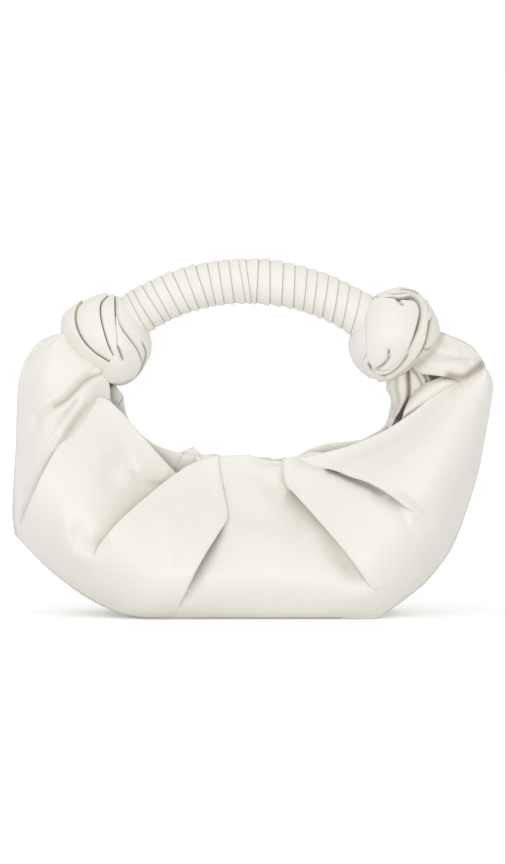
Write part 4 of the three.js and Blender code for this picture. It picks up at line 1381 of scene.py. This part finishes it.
def bind(name, line, first, last, seed):
    """A strip wound round the handle, the right edge of each turn lapping the next."""
    rng = np.random.default_rng(seed)
    steps = np.linspace(first, last, int((last - first) * STEPS_PER_TURN) + 1)[:, None]
    across = np.array([[-0.1, 0.0, 0.05, 0.12, 0.3, 0.5, 0.7, 0.85, 0.93, 0.98, 1.0, 1.005, 0.99]])
    height = np.array([[-2.0, -1.5, -1.25, -1.1, -0.8, -0.5, -0.22, -0.06, 0.0, -0.1, -0.4, -0.9, -2.0]])
    # Painted shade at both edges of each turn, where they lap.
    shade = np.array([[0.6, 0.6, 0.45, 0.1, 0, 0, 0, 0, 0, 0, 0.15, 0.45, 0.6]])
    sections = np.arange(math.floor(first), math.ceil(last) + 2)
    swell = np.interp(steps, sections, rng.uniform(-0.4, 0.3, len(sections)))
    left, right = line(steps), line(steps + 1)
    angle = left + (right - left) * across
    points = on_arch(angle, GRIP_RADIUS + height + swell, 2 * math.pi * steps + 0 * across)
    return make_mesh(name, points.reshape(-1, 3), grid_faces(*angle.shape, False), ivory, shade + 0 * angle)


line_of_turns = winding(LEFT_TURNS + RIGHT_TURNS)
middle_turn, last_turn = len(LEFT_TURNS), len(LEFT_TURNS) + len(RIGHT_TURNS) - 1.5
left_binding = bind("left_binding", line_of_turns, 0, middle_turn, 3)
right_binding = bind("right_binding", line_of_turns, middle_turn, last_turn, 5)
PAD_HALF = math.asin(KNOT_HALF_SPACING / ARCH_RADIUS) - 0.03
pad_angles = np.linspace(-PAD_HALF, PAD_HALF, PAD_STATIONS)
pad_turns = np.linspace(0, 2 * math.pi, PAD_ROUND)
angle, turn = np.meshgrid(pad_angles, pad_turns, indexing="ij")
pad_points = on_arch(angle, GRIP_RADIUS - STRIP_THICK, turn).reshape(-1, 3)
grip_padding = make_mesh("grip_padding", pad_points, grid_faces(PAD_STATIONS, PAD_ROUND, False), foam)

# Inside: linings, facings, slip pocket and base lining

STITCH, STITCH_PITCH, STITCH_RADIUS = 2.6, 3.4, 0.26
FIRST_STITCH, STITCH_SIDES = 0.4, 6
# How far round a lining's point the leather is searched, in pixels, and how shallow the lining may get
SEARCH_REACH, LEAST_DEPTH = 5, 0.4


def stitch_row(path):
    """Spindle-shaped stitches along a path in millimetres, as points and faces."""
    run = run_along(path)
    starts = np.arange(FIRST_STITCH, run[-1] - STITCH, STITCH_PITCH)
    rings = ((0, 0.25), (0.2, 0.85), (0.5, 1.0), (0.8, 0.85), (1, 0.25))
    turn = np.linspace(0, 2 * math.pi, STITCH_SIDES + 1)[:-1]
    points, faces = [], []
    for start in starts:
        first, last = points_at(start, run, path), points_at(start + STITCH, run, path)
        along = (last - first) / np.linalg.norm(last - first)
        one = np.cross(along, [0, 1, 0])
        one /= np.linalg.norm(one)
        other = np.cross(along, one)
        spindle = [
            first + (last - first) * place + STITCH_RADIUS * wide * (np.cos(t) * one + np.sin(t) * other)
            for place, wide in rings
            for t in turn
        ]
        base = len(points)
        points.extend(spindle)
        for ring in range(len(rings) - 1):
            first_point = base + ring * STITCH_SIDES
            for k in range(STITCH_SIDES):
                a, b = first_point + k, first_point + (k + 1) % STITCH_SIDES
                faces.append((a, b, b + STITCH_SIDES, a + STITCH_SIDES))
    return np.array(points), np.array(faces)


def stitching(name, paths):
    return make_mesh(name, *join_parts([stitch_row(path) for path in paths]), thread)


def flat_tree(points):
    """A search tree over points of (px, py, depth) by their place in the photograph."""
    tree = KDTree(len(points))
    for i, (px, py, _) in enumerate(points):
        tree.insert((px, py, 0), i)
    tree.balance()
    return tree


def keep_inside(inner, outer, gap):
    """Draw a lining in until it is clear of the leather outside it."""
    flat = outer.reshape(-1, 3)
    tree = flat_tree(flat)
    for point in inner.reshape(-1, 3):
        near = [flat[i][2] for _, i, _ in tree.find_range((point[0], point[1], 0), SEARCH_REACH)]
        if near:
            point[2] = max(LEAST_DEPTH, min(point[2], min(near) - gap))


LINING_GAP, LINING_SOFTENING, LINING_THICK = 2.0, 6, 0.5
FACING_LEFT, FACING_RIGHT = 168, 330
FACING_DROP, FACING_DEPTH = 50, 4.6
UNDER_FACING = FACING_DEPTH + 0.7
FACING_THICK, FACING_COLUMNS, FACING_ROWS = 1.5, 40, 24
# Below a facing the lining comes back out between these two lines of the photograph.
LINING_FREE = (506, 522)
# A facing starts this many pixels above its line, and its outer corner is rounded by so much over so long.
FACING_SET, FACING_ROUNDING, FACING_CORNER = 2, 14, 24
# The shares of its height over which a facing's top turns out, and how far inside the lip it stops
FACING_TURN, LIP_CLEARANCE = (0.03, 0.2), 1.0


def tuck_under_facing(lining):
    """Keep a lining behind the leather facing that covers its top."""
    px, py, depth = np.moveaxis(lining, -1, 0)
    share = smooth(px, FACING_LEFT - 8, FACING_LEFT + 4)
    share = share * (1 - smooth(px, FACING_RIGHT - 4, FACING_RIGHT + 8))
    share = share * (1 - smooth(py, *LINING_FREE))
    lining[..., 2] = depth + share * (np.maximum(depth, UNDER_FACING) - depth)


LINING_COLUMNS, LINING_ROWS = 60, 50
lining_left = dict(
    mouth=[
        (96, 408, 10), (112, 413, 10.5), (132, 433, 9.5), (152, 458, 8), (176, 482, 6), (205, 486, 5.4),
        (254, 486, 5.2),
    ],
    edge=[
        (26, 524, 1), (45, 556, 5), (75, 580, 14), (105, 598, 24), (146, 609, 32), (200, 609.5, 33),
        (254, 609.5, 33),
    ],
    left=[(96, 408), (64, 442), (40, 484), (26, 524)],
    right=[(254, 486), (254, 530), (254, 570), (254, 609.5)],
    columns=LINING_COLUMNS, rows=LINING_ROWS, swell=(12, 48),
)
lining_right = dict(
    mouth=[
        (254, 486, 5.2), (300, 484, 5.4), (335, 466, 7), (370, 448, 9), (402, 428, 10), (430, 406, 9),
        (452, 396, 5),
    ],
    edge=[
        (254, 609.5, 33), (310, 609.5, 33), (370, 608, 32), (400, 594, 21), (424, 574, 9), (440, 548, 3),
        (462, 500, 1),
    ],
    left=[(254, 486), (254, 530), (254, 570), (254, 609.5)],
    right=[(452, 402), (462, 430), (466, 465), (462, 500)],
    columns=LINING_COLUMNS, rows=LINING_ROWS, swell=(48, 12),
)
inner_pieces, lining_grids = [], {}
LEATHERS = {FRONT: (front_left, front_right), BACK: (back_left, back_right)}
for side, word in ((FRONT, "front"), (BACK, "back")):
    for cut, end in ((lining_left, "left"), (lining_right, "right")):
        lining = lay_strip(**cut)
        if side == BACK:
            lining = grid_behind(lining)
        for leather in LEATHERS[side]:
            keep_inside(lining, leather, LINING_GAP)
        soften(lining, LINING_SOFTENING)
        tuck_under_facing(lining)
        lining_grids[word, end] = lining
        piece = make_sheet(f"{word}_{end}_lining", [lining], side, lining_cloth, LINING_THICK)
        inner_pieces.append((piece, word, end))

LIP_DEPTHS = {
    "front": [(160, 8), (212, 8), (230, 7.5), (290, 7.5), (330, 8), (340, 8)],
    "back": [(160, 8.5), (205, 8.5), (252, 7.5), (280, 7.5), (310, 9), (340, 9.5)],
}
FACING_TOP = [(160, 468), (205, 465), (250, 464), (285, 469), (330, 464), (340, 462)]
for side, word in ((FRONT, "front"), (BACK, "back")):
    for end, first, last in (("left", FACING_LEFT, PHOTO_MIDDLE), ("right", PHOTO_MIDDLE, FACING_RIGHT)):
        columns = np.linspace(first, last, FACING_COLUMNS)
        from_end = columns - FACING_LEFT if end == "left" else FACING_RIGHT - columns
        rounding = FACING_ROUNDING * (1 - smooth(from_end, 0, FACING_CORNER))
        top = keyed(FACING_TOP, columns) - FACING_SET + rounding
        share = np.linspace(0, 1, FACING_ROWS)[:, None]
        px = columns[None] + 0 * share
        # Its top edge turns out to the lip that it is sewn to.
        out = keyed(LIP_DEPTHS[word], px) - LIP_CLEARANCE - FACING_DEPTH
        depth = FACING_DEPTH + out * (1 - smooth(share, *FACING_TURN))
        facing = np.stack([px, top[None] + FACING_DROP * share, depth], axis=-1)
        if side == BACK:
            facing = grid_behind(facing)
        piece = make_sheet(f"{word}_{end}_facing", [facing], side, ivory, FACING_THICK)
        inner_pieces.append((piece, word, end))
        # Two rows of stitches hold it, just under its top and just above its lower edge.
        rows = [facing[k] - [0, 0, FACING_THICK + 0.1] for k in (2, -3)]
        paths = [to_row(row[:, 0], row[:, 1], side * row[:, 2]) for row in rows]
        inner_pieces.append((stitching(f"{word}_{end}_facing_stitches", paths), word, end))

POCKET_LEFT, POCKET_RIGHT, POCKET_TOP, POCKET_BOTTOM, POCKET_HEM = 191, 315, 517, 581, 12
POCKET_COLUMNS, POCKET_ROWS = 41, 25
# The pocket's gap from the lining where it is sewn, its slack at the top, and how far the hem stands off it
POCKET_GAP, POCKET_SLACK, HEM_LIFT = 0.9, 1.2, 0.8
# The points of the lining that the pocket follows, and the softening of their weights in pixels
NEAR_POINTS, NEAR_SOFTENING = 6, 0.3
behind_it = np.concatenate([lining_grids["back", end].reshape(-1, 3) for end in ("left", "right")])
lining_tree = flat_tree(behind_it)


def on_lining(px, py, gap):
    """Points gap millimetres inside the back lining."""
    points = []
    for x, y, g in zip(px.ravel(), py.ravel(), np.broadcast_to(gap, px.shape).ravel()):
        near = lining_tree.find_n((x, y, 0), NEAR_POINTS)
        weight = np.array([1 / (d + NEAR_SOFTENING) for _, _, d in near])
        points.append((x, y, weight @ [behind_it[i][2] for _, i, _ in near] / weight.sum() - g))
    return np.array(points).reshape(*px.shape, 3)


across, down = np.meshgrid(np.linspace(0, 1, POCKET_COLUMNS), np.linspace(0, 1, POCKET_ROWS))
px = POCKET_LEFT + (POCKET_RIGHT - POCKET_LEFT) * across
py = POCKET_TOP + (POCKET_BOTTOM - POCKET_TOP) * down
slack = np.sin(math.pi * across) * (1 - down**2)
pocket = on_lining(px, py, POCKET_GAP + POCKET_SLACK * slack)
hem_rows = 1 + round((POCKET_ROWS - 1) * POCKET_HEM / (POCKET_BOTTOM - POCKET_TOP))
hem = pocket[:hem_rows] - [0, 0, HEM_LIFT]
hem[0, :, 2] += 0.5
hem[-1, :, 2] += 0.6
pocket_cloth = make_sheet("slip_pocket_cloth", [pocket, hem], BACK, lining_cloth, LINING_THICK)
sewn = [edge - [0, 0, 0.7] for edge in (pocket[1:-1, 1], pocket[-2, 1:-1], pocket[1:-1, -2])]
sewn.append(hem[-2, 1:-1] - [0, 0, 0.6])
pocket_stitches = stitching(
    "slip_pocket_stitches", [to_row(e[:, 0], e[:, 1], BACK * e[:, 2]) for e in sewn],
)

# The base lining is glued over the board and turned down round its edges.
low, high = (np.array(corner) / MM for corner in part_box("base_lining"))
board_low = np.array(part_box("base_board")[0]) / MM
# Its corner radius, where from its middle it turns down, and how far above the board's underside it stops
CORNER, TURN_FROM, TURN_STOP = 5.0, 0.985, 0.4
BASE_LINING_COLUMNS, BASE_LINING_ROWS = 61, 31
u, v = np.linspace(-1, 1, BASE_LINING_COLUMNS), np.linspace(-1, 1, BASE_LINING_ROWS)
u, v = np.meshgrid(u, v, indexing="ij")
half = (high - low)[:2] / 2
x, y = u * half[0], v * half[1]
over_x, over_y = (np.maximum(np.abs(p) - (h - CORNER), 0) for p, h in zip((x, y), half))
pull = np.maximum(over_x, over_y) / np.maximum(np.hypot(over_x, over_y), 1e-9)
x = np.sign(x) * (np.minimum(np.abs(x), half[0] - CORNER) + over_x * pull)
y = np.sign(y) * (np.minimum(np.abs(y), half[1] - CORNER) + over_y * pull)
edge = np.maximum(np.abs(u), np.abs(v))
z = high[2] - (high[2] - board_low[2] - TURN_STOP) * smooth(edge, TURN_FROM, 1.0)
cloth = np.stack([x + (low[0] + high[0]) / 2, y + (low[1] + high[1]) / 2, z], axis=-1)
cloth_faces = grid_faces(BASE_LINING_COLUMNS, BASE_LINING_ROWS, False)
base_cloth = make_mesh("base_lining_cloth", cloth.reshape(-1, 3), cloth_faces, lining_cloth)
thicken(base_cloth, LINING_THICK)

# Each piece baked in place, and what some of them move with


def open_with(piece):
    """Bakes a piece's place into its points."""
    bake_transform(piece)


for piece, body, end in (
    (front_left_leather, "front", "left"),
    (front_right_leather, "front", "right"),
    (back_left_leather, "back", "left"),
    (back_right_leather, "back", "right"),
    (tab_leather, "back", "left"),
    *inner_pieces,
):
    open_with(piece)
for piece, body in (
    (base_leather, "base"),
    (right_neck_leather, "base"),
    (left_knot_leather, "handle"),
    (right_knot_leather, "handle"),
    (left_binding, "handle"),
    (right_binding, "handle"),
    (grip_padding, "handle"),
    (pocket_cloth, "back"),
    (pocket_stitches, "back"),
    (base_cloth, "base"),
):
    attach(piece, body)

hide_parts("left_end", "front_panel")
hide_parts("right_end")
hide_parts("back_panel")
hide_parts("right_end")
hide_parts("base_panel")
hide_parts("base_lining")
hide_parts("slip_pocket")
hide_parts("left_knot")
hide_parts("right_knot")
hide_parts("handle_wrap_left")
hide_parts("handle_wrap_right")
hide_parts("handle_padding")
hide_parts("front_lining", "left_end_lining")
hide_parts("right_end_lining")
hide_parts("back_lining")
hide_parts("front_facing")
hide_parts("back_facing")

# The CAD nodes that stay in sight, with their finishes
CAD_FINISHES = {
    "snap_stud": brass, "snap_socket": brass, "snap_magnet": steel, "stud_washer": brass,
    "socket_washer": brass, "handle_wire": steel, "base_board": board,
}
for node, finish in CAD_FINISHES.items():
    mesh = bpy.data.objects[node].data
    mesh.materials.clear()
    mesh.materials.append(finish)

# Camera, light and floor

CAMERA_DISTANCE, SENSOR = 5.0, 36
aim = Vector((0, 0, (PHOTO_FLOOR - PHOTO_HEIGHT / 2) * MM_PER_PIXEL * MM / math.cos(TILT)))
camera_data = bpy.data.cameras.new("camera")
camera = bpy.data.objects.new("camera", camera_data)
bpy.context.collection.objects.link(camera)
camera.location = aim + Vector((0, -math.cos(TILT), math.sin(TILT))) * CAMERA_DISTANCE
camera.rotation_euler = (math.pi / 2 - TILT, 0, 0)
camera_data.sensor_fit = "VERTICAL"
camera_data.sensor_height = SENSOR
camera_data.lens = SENSOR * CAMERA_DISTANCE / (PHOTO_HEIGHT * MM_PER_PIXEL * MM)
camera_data.clip_end = 100
bpy.context.scene.camera = camera


def seen_rays(tree):
    """1 on rays that show the background itself: straight, mirrored or through glass."""
    path = add_node(tree, "LightPath", {})
    seen = add_math(tree, "MAXIMUM", path.outputs["Is Camera Ray"], path.outputs["Is Glossy Ray"])
    return add_math(tree, "MAXIMUM", seen, path.outputs["Is Transmission Ray"])


# The floor's own glow close to the bag and far behind it, and the distances between them in metres
FLOOR_GLOW, GLOW_REACH = (0.26, 0.42), (0.25, 1.5)
FLOOR_SIZE, FLOOR_HEIGHT = 40, -0.0005


def floor_material():
    """White to the eye, but it still takes the bag's shadow."""
    material = bpy.data.materials.new("white floor")
    material.use_nodes = True
    tree = material.node_tree
    place = add_node(tree, "TexCoord", {})
    away = add_node(tree, "VectorMath", {0: place.outputs["Object"]}, operation="LENGTH")
    ranges = zip(("From Min", "From Max", "To Min", "To Max"), (*GLOW_REACH, *FLOOR_GLOW))
    fade = add_node(tree, "MapRange", {"Value": away.outputs["Value"], **dict(ranges)})
    set_inputs(tree, tree.nodes["Principled BSDF"], {
        "Base Color": (0.92, 0.92, 0.92, 1),
        "Roughness": 1.0,
        "Specular IOR Level": 0.0,
        "Emission Color": (1, 1, 1, 1),
        "Emission Strength": add_math(tree, "MULTIPLY", seen_rays(tree), fade.outputs["Result"]),
    })
    return material


bpy.ops.mesh.primitive_plane_add(size=FLOOR_SIZE, location=(0, 0, FLOOR_HEIGHT))
floor = bpy.context.object
floor.name = "floor"
floor.data.materials.append(floor_material())


def soft_box(name, place, aim_at, size, power):
    data = bpy.data.lights.new(name, "AREA")
    data.shape = "RECTANGLE"
    data.size, data.size_y = size
    data.energy = power
    light = bpy.data.objects.new(name, data)
    light.location = place
    light.rotation_euler = (Vector(aim_at) - Vector(place)).to_track_quat("-Z", "Y").to_euler()
    bpy.context.collection.objects.link(light)


soft_box("overhead", (-0.5, -0.5, 1.8), (0, 0, 0.1), (1.6, 1.2), 3.8)
soft_box("front_fill", (-0.1, -2.4, 0.3), (0, 0, 0.08), (2.0, 1.2), 21)

WORLD_LIGHT = 0.75
world = bpy.context.scene.world or bpy.data.worlds.new("world")
bpy.context.scene.world = world
world.use_nodes = True
sky = world.node_tree
strength = add_node(sky, "MapRange", {"Value": seen_rays(sky), "To Min": WORLD_LIGHT, "To Max": 1.0})
set_inputs(sky, sky.nodes["Background"], {"Color": (1, 1, 1, 1), "Strength": strength.outputs["Result"]})
bpy.context.scene.view_settings.view_transform = "Standard"
